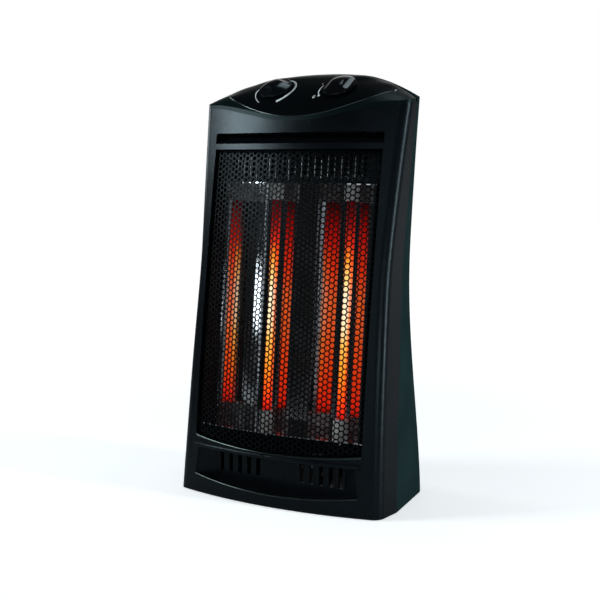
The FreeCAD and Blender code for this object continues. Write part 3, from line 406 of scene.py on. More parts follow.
class Shader(NodeTree):
    """A material's node tree, which ends in one Principled shader."""

    def __init__(self, name: str) -> None:
        """Starts a material.

        Args:
            name: the material's name.
        """
        self.material = bpy.data.materials.new(name)
        super().__init__(self.material)
        self.skin = self.nodes["Principled BSDF"]

    def set(self, **values: float | tuple[float, ...]) -> None:
        """Sets the Principled shader's own sockets, named with underscores for spaces.

        Args:
            values: socket names and their values.
        """
        for name, value in values.items():
            self.skin.inputs[name.replace("_", " ")].default_value = value

    def join(self, source: Socket, name: str) -> None:
        """Links a socket to the Principled shader's input of that name."""
        self.links.new(source, self.skin.inputs[name])

    def place(self, stretch: Triple = (1, 1, 1)) -> Socket:
        """Object coordinates, scaled along each axis.

        Args:
            stretch: scale along x, y and z.

        Returns:
            The vector socket.
        """
        coordinates = self.nodes.new("ShaderNodeTexCoord")
        mapping = self.nodes.new("ShaderNodeMapping")
        mapping.inputs["Scale"].default_value = stretch
        self.links.new(coordinates.outputs["Object"], mapping.inputs["Vector"])
        return mapping.outputs["Vector"]

    def noise(self, scale: float, octaves: float = 3, stretch: Triple = (1, 1, 1)) -> Socket:
        """Noise on Object coordinates.

        Args:
            scale: cells per metre.
            octaves: layers of ever finer detail.
            stretch: scale along x, y and z.

        Returns:
            The value socket.
        """
        texture = self.nodes.new("ShaderNodeTexNoise")
        texture.inputs["Scale"].default_value = scale
        texture.inputs["Detail"].default_value = octaves
        self.links.new(self.place(stretch), texture.inputs["Vector"])
        return texture.outputs["Fac"]

    def ramp(self, value: Socket, stops: list[Stop]) -> Socket:
        """Colour ramp.

        Args:
            value: the socket that drives it.
            stops: places from 0 to 1 and their colours.

        Returns:
            The colour socket.
        """
        node = self.nodes.new("ShaderNodeValToRGB")
        elements = node.color_ramp.elements
        while len(elements) < len(stops):
            elements.new(0.5)
        for element, (position, colour) in zip(elements, stops):
            element.position = position
            element.color = (*colour, 1)
        self.links.new(value, node.inputs["Fac"])
        return node.outputs["Color"]

    def mottle(self, value: Socket, colour: Colour, shares: Range, span: Range = NOISE_SPAN) -> None:
        """Lets the base colour vary with a value.

        Args:
            value: the socket that drives it.
            colour: the colour.
            shares: shares of it at both ends of the span.
            span: first and last value.
        """
        stops = [(position, shaded(colour, share)) for position, share in zip(span, shares)]
        self.join(self.ramp(value, stops), "Base Color")

    def roughen(self, value: Socket, gloss: Range) -> None:
        """Lets the roughness vary with a noise.

        Args:
            value: the noise that drives it.
            gloss: least and greatest roughness.
        """
        self.join(self.remap(value, NOISE_SPAN, gloss), "Roughness")

    def bump(self, height: Socket, depth: float) -> None:
        """Lets a height shape the surface.

        Args:
            height: the height socket.
            depth: real depth in metres.
        """
        node = self.nodes.new("ShaderNodeBump")
        node.inputs["Strength"].default_value = 1
        node.inputs["Distance"].default_value = depth
        self.links.new(height, node.inputs["Height"])
        self.join(node.outputs["Normal"], "Normal")

    def turned(self, front: Socket, rear: Socket, back: np.ndarray, facing: Range) -> Socket:
        """Blends two colours by how far the surface itself faces to the rear of the object.

        Args:
            front: colour where it faces the front.
            rear: colour where it faces the rear.
            back: unit vector to the rear.
            facing: reach of the surface's normal along back where the blend begins and where it ends.

        Returns:
            The colour socket.
        """
        coordinates = self.nodes.new("ShaderNodeTexCoord")
        share = self.remap(self.along(coordinates.outputs["Normal"], back), facing)
        mix = self.nodes.new("ShaderNodeMix")
        mix.data_type = "RGBA"
        self.links.new(share, mix.inputs["Factor"])
        self.links.new(front, mix.inputs[MIX_FIRST_COLOUR])
        self.links.new(rear, mix.inputs[MIX_SECOND_COLOUR])
        return mix.outputs[MIX_COLOUR_RESULT]

    def height_along(self, chamber: ChamberFrame, low: float, high: float) -> Socket:
        """Share of the way up a tube: the place's reach along the tube's axis, from low to high.

        Args:
            chamber: the chamber's frame.
            low: where the share is 0, up the tube.
            high: where it is 1.

        Returns:
            The value socket.
        """
        foot = float(chamber.origin @ chamber.along)
        return self.remap(self.along(self.place(), chamber.along), (foot + low, foot + high))


def shaded(colour: Colour, share: float) -> Colour:
    """A colour times a share."""
    return (colour[0] * share, colour[1] * share, colour[2] * share)


def put_on(piece: bpy.types.Object, material: bpy.types.Material) -> None:
    """Makes a material a piece's only one.

    Args:
        piece: the piece.
        material: its material.
    """
    piece.data.materials.clear()
    piece.data.materials.append(material)


@dataclass(frozen=True)
class Finish:
    """A finish of the heater, which becomes one material."""

    name: str

    def material(self) -> bpy.types.Material:
        """Builds the material, in each finish's own way."""
        raise NotImplementedError


@dataclass(frozen=True)
class MouldedPlastic(Finish):
    """Moulded plastic or rubber: cloudy colour and gloss, a fine spark-eroded grain, and a painted cool tint
    on its reflections.
    """

    colour: Colour
    gloss: Range
    specular: float = 0.5
    # Tint of all its reflections: a painted cool colour that stands in for the colour of the studio light.
    painted_reflection_tint: Colour = (0.75, 0.93, 1.0)
    grain_depth: float = 0.03 * MM
    grain_scale: float = 1400
    cloud_scale: float = 14
    cloud_shares: Range = (0.85, 1.15)

    def material(self) -> bpy.types.Material:
        """Builds the material.

        Returns:
            The material.
        """
        shader = Shader(self.name)
        cloud = shader.noise(self.cloud_scale)
        shader.mottle(cloud, self.colour, self.cloud_shares)
        shader.roughen(cloud, self.gloss)
        shader.set(Specular_IOR_Level=self.specular, Specular_Tint=(*self.painted_reflection_tint, 1))
        shader.bump(shader.noise(self.grain_scale, octaves=2), self.grain_depth)
        return shader.material


@dataclass(frozen=True)
class SheetMetal(Finish):
    """Rolled or plated metal: streaks along one direction and gentle waves in the sheet."""

    colour: Colour
    gloss: Range
    streak: Triple = (400, 400, 6)
    streak_shares: Range = (0.88, 1)
    wave_scale: float = 18
    wave_depth: float = 0.2 * MM

    def material(self) -> bpy.types.Material:
        """Builds the material.

        Returns:
            The material.
        """
        shader = Shader(self.name)
        streaks = shader.noise(1, stretch=self.streak)
        shader.mottle(streaks, self.colour, self.streak_shares)
        shader.roughen(streaks, self.gloss)
        shader.set(Metallic=1.0)
        shader.bump(shader.noise(self.wave_scale, octaves=2), self.wave_depth)
        return shader.material


HEAT_STOPS: list[Stop] = [
    (0.0, (0.2, 0.002, 0.001)),
    (0.05, (0.8, 0.018, 0.004)),
    (0.14, (1.0, 0.13, 0.006)),
    (0.24, (1.0, 0.34, 0.02)),
    (0.36, (1.0, 0.55, 0.09)),
    (0.44, (1.0, 0.84, 0.48)),
    (0.58, (1.0, 0.88, 0.6)),
    (0.66, (1.0, 0.66, 0.2)),
    (0.74, (1.0, 0.32, 0.025)),
    (0.82, (0.55, 0.025, 0.004)),
    (0.89, (0.2, 0.004, 0.002)),
    (0.95, (0.1, 0.001, 0.001)),
    (1.0, (0.06, 0.001, 0.001)),
]
REAR_HEAT_STOPS: list[Stop] = [
    (0.0, (0.15, 0.001, 0.001)),
    (0.06, (0.95, 0.02, 0.003)),
    (0.2, (1.0, 0.05, 0.005)),
    (0.4, (1.0, 0.11, 0.014)),
    (0.55, (1.0, 0.13, 0.018)),
    (0.7, (0.95, 0.035, 0.004)),
    (0.85, (0.55, 0.006, 0.002)),
    (0.95, (0.2, 0.002, 0.001)),
    (1.0, (0.05, 0.001, 0.001)),
]


@dataclass(frozen=True)
class HotElement(Finish):
    """What glows: red at the ends, orange, and pale yellow in the middle of each tube, redder at the rear."""

    chamber: ChamberFrame
    opacity: float
    strength: float = 1.2
    colour: Colour = (0.004, 0.004, 0.004)
    gloss: Range = (0.08, 0.2)
    specular: float = 0.1
    grain_scale: float = 260
    grain_shares: Range = (0.9, 1)
    low: float = 14 * MM
    high: float = 302 * MM
    rear_facing: Range = (-0.85, -0.35)

    def material(self) -> bpy.types.Material:
        """Builds the material.

        Returns:
            The material.
        """
        shader = Shader(self.name)
        heat = shader.height_along(self.chamber, self.low, self.high)
        front = shader.ramp(heat, HEAT_STOPS)
        rear = shader.ramp(heat, REAR_HEAT_STOPS)
        shader.join(shader.turned(front, rear, self.chamber.back, self.rear_facing), "Emission Color")
        grain = shader.noise(self.grain_scale)
        shader.mottle(grain, self.colour, self.grain_shares)
        shader.roughen(grain, self.gloss)
        shader.set(Emission_Strength=self.strength, Alpha=self.opacity, Specular_IOR_Level=self.specular)
        return shader.material


@dataclass(frozen=True)
class FiredCeramic(Finish):
    """Dense white ceramic with a faint speckle."""

    colour: Colour
    gloss: Range = (0.35, 0.55)
    speckle_scale: float = 900
    speckle_shares: Range = (0.8, 1)
    speckle_span: Range = (0.3, 0.6)
    speckle_depth: float = 0.05 * MM

    def material(self) -> bpy.types.Material:
        """Builds the material.

        Returns:
            The material.
        """
        shader = Shader(self.name)
        speckle = shader.noise(self.speckle_scale, octaves=4)
        shader.mottle(speckle, self.colour, self.speckle_shares, self.speckle_span)
        shader.roughen(speckle, self.gloss)
        shader.bump(speckle, self.speckle_depth)
        return shader.material


@dataclass(frozen=True)
class DialInk(Finish):
    """Matt white ink with slightly uneven cover."""

    colour: Colour
    gloss: Range = (0.4, 0.6)
    cover_scale: float = 700
    cover_shares: Range = (0.85, 1)
    cover_span: Range = (0.2, 0.6)

    def material(self) -> bpy.types.Material:
        """Builds the material.

        Returns:
            The material.
        """
        shader = Shader(self.name)
        cover = shader.noise(self.cover_scale)
        shader.mottle(cover, self.colour, self.cover_shares, self.cover_span)
        shader.roughen(cover, self.gloss)
        return shader.material


@dataclass
class GuardSheet:
    """Perforated guard: a bowed sheet with hexagonal holes in upright columns."""

    form: CaseForm
    half_width: float = 129 * MM
    top: float = 463 * MM
    bottom_end: float = 77 * MM
    bottom_middle: float = 69 * MM
    inset: float = 0.4 * MM
    sheet: float = 0.9 * MM
    pitch: float = 7.14 * MM
    hole: float = 5.5 * MM
    rim: float = 3 * MM
    overrun: float = 1.5 * MM
    roll_width: float = 7 * MM
    roll_depth: float = 3 * MM
    weld_step: float = 0.01 * MM
    least_area: float = 0.04 * MM * MM

    def sheet_y(self, x: np.ndarray, z: np.ndarray) -> np.ndarray:
        """Y of the sheet's front: a circular arc through the nose and both tucked edges at each height.

        Near its outline the sheet rolls back by the square of the way into a narrow border.

        Args:
            x: places across.
            z: heights.

        Returns:
            Y values.
        """
        side = np.maximum(np.abs(x) - self.half_width, -self.roll_width)
        high = np.maximum(z - self.top, -self.roll_width)
        low = np.maximum(self.lower_edge(x) - z, -self.roll_width)
        roll = self.roll_depth * (1 + np.maximum(np.maximum(side, high), low) / self.roll_width) ** 2
        nose = self.form.face_y(np.zeros_like(z), z) + self.inset
        end = self.form.inner_face_y(np.full_like(z, self.half_width), z) + self.form.fit_gap
        sag = end - nose
        radius = (self.half_width ** 2 + sag ** 2) / (2 * sag)
        return nose + radius - np.sqrt(radius ** 2 - x ** 2) + roll

    def lower_edge(self, x: np.ndarray) -> np.ndarray:
        """Height of the bowed lower edge: a circular arc, lowest in the middle.

        Args:
            x: places across.

        Returns:
            Heights.
        """
        sag = self.bottom_end - self.bottom_middle
        radius = (self.half_width ** 2 + sag ** 2) / (2 * sag)
        return self.bottom_middle + self.form.fit_gap + radius - np.sqrt(radius ** 2 - x ** 2)

    def held(self, x: np.ndarray, z: np.ndarray, rim: float) -> tuple[np.ndarray, np.ndarray]:
        """Moves points outside the sheet's outline, less a rim, onto that outline.

        Args:
            x: places across.
            z: heights.
            rim: width left free along the outline.

        Returns:
            The held x and z.
        """
        reach = self.half_width - rim
        x = np.clip(x, -reach, reach)
        return x, np.clip(z, self.lower_edge(x) + rim, self.top - self.form.fit_gap - rim)

    def hexagons(self, x: np.ndarray, z: np.ndarray, width: float, rim: float) -> np.ndarray:
        """Corners of a flat-topped hexagon round each place, held to the sheet's outline.

        Args:
            x: places across, one in each row.
            z: heights, one in each row.
            width: distance between two flat sides.
            rim: width left free along the outline.

        Returns:
            Six pairs of x and z in each row.
        """
        angle = np.arange(HEXAGON) * 2 * np.pi / HEXAGON
        radius = width / math.sqrt(3)
        return np.stack(self.held(x + radius * np.cos(angle), z + radius * np.sin(angle), rim), -1)

    def build(self) -> bpy.types.Object:
        """Builds the sheet: each cell is a ring of six quads between its outer hexagon and its hole.

        A cell whose middle is further into the rim than the overrun has no hole: its quads meet there.

        Returns:
            The guard.
        """
        step = self.pitch * math.sqrt(3) / 2
        columns = math.ceil(self.half_width / step)
        rows = math.ceil((self.top - self.bottom_middle) / self.pitch) + 1
        i, j = np.meshgrid(np.arange(-columns, columns + 1), np.arange(rows), indexing="ij")
        x = (i * step).reshape(-1, 1)
        z = (self.bottom_middle + (j + (i % 2) / 2) * self.pitch).reshape(-1, 1)
        limit_x, limit_z = self.held(x, z, self.rim - self.overrun)
        holed = ((limit_x == x) & (limit_z == z))[..., None]
        middle = np.stack(self.held(x, z, 0), -1)
        outer = self.hexagons(x, z, self.pitch, 0)
        inner = np.where(holed, self.hexagons(x, z, self.hole, self.rim), middle)
        k = np.arange(HEXAGON)
        next_k = (k + 1) % HEXAGON
        ring = np.stack([k, next_k, next_k + HEXAGON, k + HEXAGON], -1)
        first = np.arange(len(x))[:, None, None] * 2 * HEXAGON
        return self.weld(np.concatenate([outer, inner], 1).reshape(-1, 2), (first + ring).reshape(-1, 4))

    def weld(self, flat: np.ndarray, faces: np.ndarray) -> bpy.types.Object:
        """Joins points that fall together, drops faces without area, bows the sheet and makes it thick.

        A quad with two corners in one point becomes a triangle.

        Args:
            flat: places across and heights of all points.
            faces: quads.

        Returns:
            The guard.
        """
        keys, numbers = np.unique(np.round(flat / self.weld_step).astype(int), axis=0, return_inverse=True)
        spots = keys * self.weld_step
        faces = numbers.reshape(-1)[faces]
        corners = spots[faces]
        rising = corners[:, 2] - corners[:, 0]
        falling = corners[:, 3] - corners[:, 1]
        area = (rising[:, 0] * falling[:, 1] - rising[:, 1] * falling[:, 0]) / 2
        used, faces = np.unique(faces[area > self.least_area], return_inverse=True)
        faces = faces.reshape(-1, 4)
        x, z = spots[used].T
        points = np.stack([x, self.sheet_y(x, z), z], -1)
        doubled = faces == np.roll(faces, -1, axis=1)
        pointed = doubled.any(axis=1)
        triangles = faces[pointed][~doubled[pointed]].reshape(-1, 3)
        piece = Surface.from_faces("guard_perforated", points, faces[~pointed], False, tuple(triangles))
        thick = piece.modifiers.new("sheet", "SOLIDIFY")
        thick.thickness = self.sheet
        thick.offset = -1
        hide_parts("guard_mesh")
        return piece


@dataclass
class HeatingElement:
    """Close-wound resistance wire inside one quartz tube."""

    chamber: ChamberFrame
    side: Side
    coil_radius: float = 3.6 * MM
    wire_radius: float = 0.42 * MM
    wire_sides: int = 6
    turns: int = 130
    turn_points: int = 14
    low: float = 15 * MM
    high: float = 311 * MM

    def build(self) -> bpy.types.Object:
        """Builds the coil: a circle carried along x = R cos a, v = R sin a, w rising evenly with a.

        Returns:
            The coil.
        """
        angle = np.linspace(0, 2 * np.pi * self.turns, self.turns * self.turn_points + 1)
        x = self.side.value * self.chamber.tube_spacing / 2 + self.coil_radius * np.cos(angle)
        v = self.coil_radius * np.sin(angle)
        w = self.low + (self.high - self.low) * angle / angle[-1]
        name = self.side.name.lower()
        path = self.chamber.place(x, v, w)
        piece = Surface.tube("heating_wire_" + name, path, self.wire_radius, self.wire_sides)
        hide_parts("heating_coil_" + name)
        return piece


@dataclass
class DialPrint:
    """White marks round one knob, laid on the crown as a thin film; turns run clockwise from the top."""

    form: CaseForm
    side: Side
    across: float = 49 * MM
    setback: float = 83 * MM
    slope: float = 0.84
    lift: float = 0.12 * MM
    film: float = 0.1 * MM
    arc_points: int = 97
    arc_rows: int = 4
    dot_points: int = 32
    dot_rings: int = 5
    dot_core_share: float = 0.04

    def lay(self, right: np.ndarray, up: np.ndarray) -> np.ndarray:
        """Lays flat marks on the crown: up the slope is shortened in plan, and the height is the crown's.

        Args:
            right: places to the right of the knob's middle.
            up: places up the slope from it.

        Returns:
            Points, an n by 3 array.
        """
        x = self.side.value * self.across + right
        y = self.form.behind_front(self.setback) + up * self.slope
        return np.stack([x, y, self.form.crown_z(x, y) + self.lift], -1).reshape(-1, 3)

    def arc(self, name: str, radius: float, turn: Range, width: Range) -> bpy.types.Object:
        """A band along a circle whose width grows evenly.

        Args:
            name: the piece's name.
            radius: the band's outer radius.
            turn: first and last turn in degrees.
            width: first and last width.

        Returns:
            The band.
        """
        angle = np.radians(np.linspace(*turn, self.arc_points))[:, None]
        band = np.linspace(*width, self.arc_points)[:, None]
        reach = radius - band * np.linspace(0, 1, self.arc_rows)[None, :]
        points = self.lay(reach * np.sin(angle), reach * np.cos(angle))
        faces = Surface.grid_faces(self.arc_points, self.arc_rows, False, False)
        return self.thicken(Surface.from_faces(name, points, faces, True))

    def dot(self, name: str, radius: float, turn: float, size: float) -> bpy.types.Object:
        """A round spot on the dial's circle: rings from its middle outwards.

        Args:
            name: the piece's name.
            radius: distance from the knob's middle.
            turn: turn in degrees.
            size: the spot's radius.

        Returns:
            The spot.
        """
        angle = np.linspace(0, 2 * np.pi, self.dot_points, endpoint=False)[None, :]
        ring = size * np.linspace(self.dot_core_share, 1, self.dot_rings)[:, None]
        right = radius * math.sin(math.radians(turn)) + ring * np.sin(angle)
        up = radius * math.cos(math.radians(turn)) + ring * np.cos(angle)
        faces = Surface.grid_faces(self.dot_rings, self.dot_points, False, True)
        core = np.arange(self.dot_points)[::-1]
        return self.thicken(Surface.from_faces(name, self.lay(right, up), faces, True, (core,)))

    def number(self, numeral: Numeral, radius: float, turn: float, height: float, stroke: float,
               ) -> bpy.types.Object:
        """A plain number: a flat stroke carried along the number's line.

        Args:
            numeral: which number.
            radius: distance of its middle from the knob's middle.
            turn: turn in degrees.
            height: its height.
            stroke: width of the stroke.

        Returns:
            The number.
        """
        line = self.numeral_line(numeral) * height
        tangent = np.gradient(line, axis=0)
        tangent /= np.linalg.norm(tangent, axis=1, keepdims=True)
        normal = np.stack([-tangent[:, 1], tangent[:, 0]], -1)
        edge = stroke * np.array([0.5, 0, -0.5])
        flat = line[:, None] + normal[:, None] * edge[None, :, None]
        right = flat[..., 0] + radius * math.sin(math.radians(turn))
        up = flat[..., 1] + radius * math.cos(math.radians(turn))
        name = "dial_number_" + numeral.name.lower()
        faces = Surface.grid_faces(len(line), len(edge), False, False)
        return self.thicken(Surface.from_faces(name, self.lay(right, up), faces, True))

    @staticmethod
    def numeral_line(numeral: Numeral) -> np.ndarray:
        """Middle line of a number one unit high: an oval, an upright, or a hook with a slant and a foot.

        Args:
            numeral: which number.

        Returns:
            An n by 2 array.
        """
        half_width = 0.3
        half_height = 0.5
        if numeral is Numeral.ZERO:
            angle = np.linspace(0, 2 * np.pi, 41)
            return np.stack([half_width * np.sin(angle), half_height * np.cos(angle)], -1)
        if numeral is Numeral.ONE:
            return np.stack([np.zeros(9), np.linspace(half_height, -half_height, 9)], -1)
        hook_radius = 0.27
        hook_middle = half_height - hook_radius
        heel = np.array([-half_width, -0.46])
        foot_start = -0.24
        foot_height = -0.47
        angle = np.radians(np.linspace(170, -40, 22))
        hook = np.stack([hook_radius * np.cos(angle), hook_middle + hook_radius * np.sin(angle)], -1)
        slant = hook[-1] + np.linspace(0.1, 1, 10)[:, None] * (heel - hook[-1])
        foot = np.stack([np.linspace(foot_start, half_width, 9), np.full(9, foot_height)], -1)
        return np.concatenate([hook, slant, foot])

    def thicken(self, mark: bpy.types.Object) -> bpy.types.Object:
        """Gives a flat mark the film's thickness.

        Args:
            mark: the mark.

        Returns:
            The same mark.
        """
        film = mark.modifiers.new("film", "SOLIDIFY")
        film.thickness = self.film
        film.offset = 0
        return mark


@dataclass
class ThermostatPrint(DialPrint):
    """Ring round the thermostat's knob that swells from cool to warm."""

    side: Side = Side.LEFT
    radius: float = 29.4 * MM
    turn: Range = (208, 512)
    width: Range = (0.8 * MM, 3.6 * MM)

    def build(self) -> list[bpy.types.Object]:
        """Builds the ring."""
        return [self.arc("thermostat_scale", self.radius, self.turn, self.width)]


@dataclass
class SelectorPrint(DialPrint):
    """Arc at the selector's knob that begins with a spot, and a number at each setting."""

    side: Side = Side.RIGHT
    radius: float = 29.5 * MM
    turn: Range = (238, 345)
    width: float = 1.4 * MM
    dot_reach: float = 28.8 * MM
    dot_turn: float = 236
    dot_radius: float = 1.8 * MM
    number_height: float = 4.4 * MM
    number_stroke: float = 0.8 * MM
    number_places: tuple[tuple[Numeral, float, float], ...] = (
        (Numeral.ZERO, 35 * MM, 240),
        (Numeral.ONE, 34.5 * MM, 292),
        (Numeral.TWO, 33 * MM, 345),
    )

    def build(self) -> list[bpy.types.Object]:
        """Builds the arc, the spot and the numbers.

        Returns:
            The pieces.
        """
        marks = [
            self.arc("selector_scale", self.radius, self.turn, (self.width, self.width)),
            self.dot("selector_dot", self.dot_reach, self.dot_turn, self.dot_radius),
        ]
        for numeral, reach, turn in self.number_places:
            marks.append(self.number(numeral, reach, turn, self.number_height, self.number_stroke))
        return marks


@dataclass
class PanelEdge:
    """Fine metal bead along the smile-shaped front edge of the control panel; the metal stands in for the
    highlight along the trim's rounded inner lip.
    """

    form: CaseForm
    half_width: float = 131 * MM
    front_setback: float = 46.3 * MM
    radius: float = 0.6 * MM
    half_turn_share: float = 0.46
    path_points: int = 181
    sides: int = 8

    def build(self) -> bpy.types.Object:
        """Builds the bead: a circle carried along most of the half ellipse through both tips and the front.

        Returns:
            The bead.
        """
        tip = float(self.form.crest_y(np.asarray(self.half_width)))
        reach = tip - self.form.behind_front(self.front_setback)
        angle = np.linspace(-self.half_turn_share, self.half_turn_share, self.path_points) * np.pi
        x = self.half_width * np.sin(angle)
        y = tip - reach * np.cos(angle)
        path = np.stack([x, y, self.form.crown_z(x, y)], -1)
        piece = Surface.tube("panel_edge_bead", path, self.radius, self.sides)
        return piece


@dataclass
class EdgeRim:
    """Rounded rim along a smile-shaped edge in the bowed front face."""

    form: CaseForm
    name: str
    half_width: float
    end_height: float
    middle_height: float
    radius: float
    path_points: int = 121
    sides: int = 12

    def build(self) -> bpy.types.Object:
        """Builds the rim: a circle carried along a circular arc of heights on the bowed front face.

        Returns:
            The rim.
        """
        x = np.linspace(-self.half_width, self.half_width, self.path_points)
        sag = self.end_height - self.middle_height
        bend = (self.half_width ** 2 + sag ** 2) / (2 * sag)
        z = self.middle_height + bend - np.sqrt(bend ** 2 - x ** 2)
        path = np.stack([x, self.form.face_y(x, z) + self.radius / 2, z], -1)
        piece = Surface.tube(self.name, path, self.radius, self.sides)
        return piece


@dataclass
class LouvreEdges:
    """Bright metal beads on the front edges of the upright ribs behind the guard's upper end; the metal
    stands in for the highlights along those edges.
    """

    chamber: ChamberFrame
    ribs: int = 20
    pitch: float = 10 * MM
    setback: float = -44 * MM
    foot: float = 333 * MM
    height: float = 32 * MM
    radius: float = 0.5 * MM
    path_points: int = 9
    sides: int = 10

    def build(self) -> list[bpy.types.Object]:
        """Builds the edges: upright round beads, one on each rib.

        Returns:
            The beads.
        """
        beads = []
        w = self.foot + self.height * np.linspace(0, 1, self.path_points)
        for k in range(self.ribs):
            x = (k - (self.ribs - 1) / 2) * self.pitch
            path = self.chamber.place(np.asarray(x), np.asarray(self.setback), w)
            bead = Surface.tube(f"louvre_edge_{k + 1}", path, self.radius, self.sides)
            beads.append(bead)
        return beads


@dataclass
class CadDressing:
    """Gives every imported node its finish."""

    chamber: ChamberFrame

    def finishes(self) -> dict[str, tuple[Finish, tuple[str, ...]]]:
        """The finish of each material slot and the nodes that have it.

        Returns:
            Slot names, each with its finish and node names.
        """
        return {
            "black_plastic": (
                MouldedPlastic("satin_black", (0.003, 0.004, 0.0055), (0.24, 0.3), specular=0.1),
                ("front_bezel",)),
            "rear_plastic": (
                MouldedPlastic("matt_green_black", (0.013, 0.025, 0.0255), (0.5, 0.6), specular=0.0),
                ("rear_cover",)),
            "trim_plastic": (
                # The trim's reflections carry a painted green-blue tint.
                MouldedPlastic("satin_dark_grey", (0.002, 0.006, 0.006), (0.34, 0.42), specular=0.08,
                               painted_reflection_tint=(0.65, 0.96, 0.98)),
                ("top_trim",)),
            "panel_gloss": (
                MouldedPlastic("gloss_panel", (0.002, 0.003, 0.0035), (0.14, 0.2), specular=0.15,
                               grain_depth=0),
                ("control_panel",)),
            "knob_gloss": (
                MouldedPlastic("gloss_knob", (0.003, 0.0035, 0.004), (0.12, 0.18), specular=0.25,
                               grain_depth=0),
                ("thermostat_knob", "selector_knob")),
            "guard_black": (
                MouldedPlastic("black_enamel", (0.0015, 0.002, 0.0025), (0.3, 0.4), specular=0.07),
                ("guard_mesh",)),
            "steel": (
                SheetMetal("zinc_plate", (0.5, 0.5, 0.51), (0.3, 0.45)),
                ("thermostat_spindle", "selector_spindle", "thermostat_nut", "selector_nut",
                 "element_terminals", "tip_lever", "tip_lever_pin", "tip_spring", "case_screws",
                 "chamber_screws", "base_screws", "thermal_cutout")),
            "switch_plastic": (
                MouldedPlastic("brown_phenolic", (0.05, 0.035, 0.025), (0.45, 0.6)),
                ("thermostat_body", "selector_body", "tip_switch_body", "tip_microswitch", "terminal_block")),
            "chamber_black": (
                MouldedPlastic("heatproof_black", (0.004, 0.005, 0.005), (0.5, 0.65), specular=0.1),
                ("chamber_side_left", "chamber_side_right", "outlet_louvre")),
            "bright_reflector": (
                SheetMetal("bright_aluminium", (0.55, 0.55, 0.56), (0.05, 0.09)),
                ("reflector", "chamber_floor", "chamber_roof")),
            "galvanised": (
                SheetMetal("galvanised_sheet", (0.25, 0.26, 0.27), (0.35, 0.5), streak=(60, 60, 60)),
                ("heat_shield", "base_plate")),
            "quartz": (
                HotElement("glowing_quartz", self.chamber, opacity=0.55),
                ("quartz_tube_left", "quartz_tube_right")),
            "white_ceramic": (
                FiredCeramic("white_ceramic", (0.72, 0.7, 0.66)),
                ("lower_cap_left", "lower_cap_right", "upper_cap_left", "upper_cap_right")),
            "rubber": (
                MouldedPlastic("black_rubber", (0.01, 0.01, 0.01), (0.7, 0.85)),
                ("rubber_feet", "cord_gland")),
            "plunger_plastic": (
                MouldedPlastic("white_plunger", (0.6, 0.6, 0.58), (0.4, 0.5)),
                ("tip_plunger",)),
            "glow_wire": (
                HotElement("glowing_wire", self.chamber, opacity=1.0),
                ("heating_coil_left", "heating_coil_right")),
        }

    def dress(self) -> dict[str, bpy.types.Material]:
        """Puts each finish on its nodes.

        Returns:
            The material of each slot.
        """
        made = {}
        for slot, (finish, nodes) in self.finishes().items():
            made[slot] = finish.material()
            for name in nodes:
                put_on(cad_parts[name], made[slot])
                log.info("node %s has finish %s", name, finish.name)
        return made


@dataclass(frozen=True)
class SoftLamp:
    """A rectangular soft lamp that faces the middle of the heater."""

    name: str
    place: Triple
    size: Range
    power: float
    spread: float = math.pi
    aim: Triple = (0.0, 0.0, 0.3)
    colour: Colour = (0.82, 0.94, 1.0)

    def hang(self) -> None:
        """Puts the lamp in its place; a spread under half a turn narrows its beam."""
        data = bpy.data.lights.new(self.name, "AREA")
        data.shape = "RECTANGLE"
        data.size, data.size_y = self.size
        data.energy = self.power
        data.color = self.colour
        data.spread = self.spread
        lamp = bpy.data.objects.new(self.name, data)
        lamp.location = self.place
        lamp.visible_camera = False
        lamp.rotation_euler = (Vector(self.aim) - Vector(self.place)).to_track_quat("-Z", "Y").to_euler()
        bpy.context.scene.collection.objects.link(lamp)


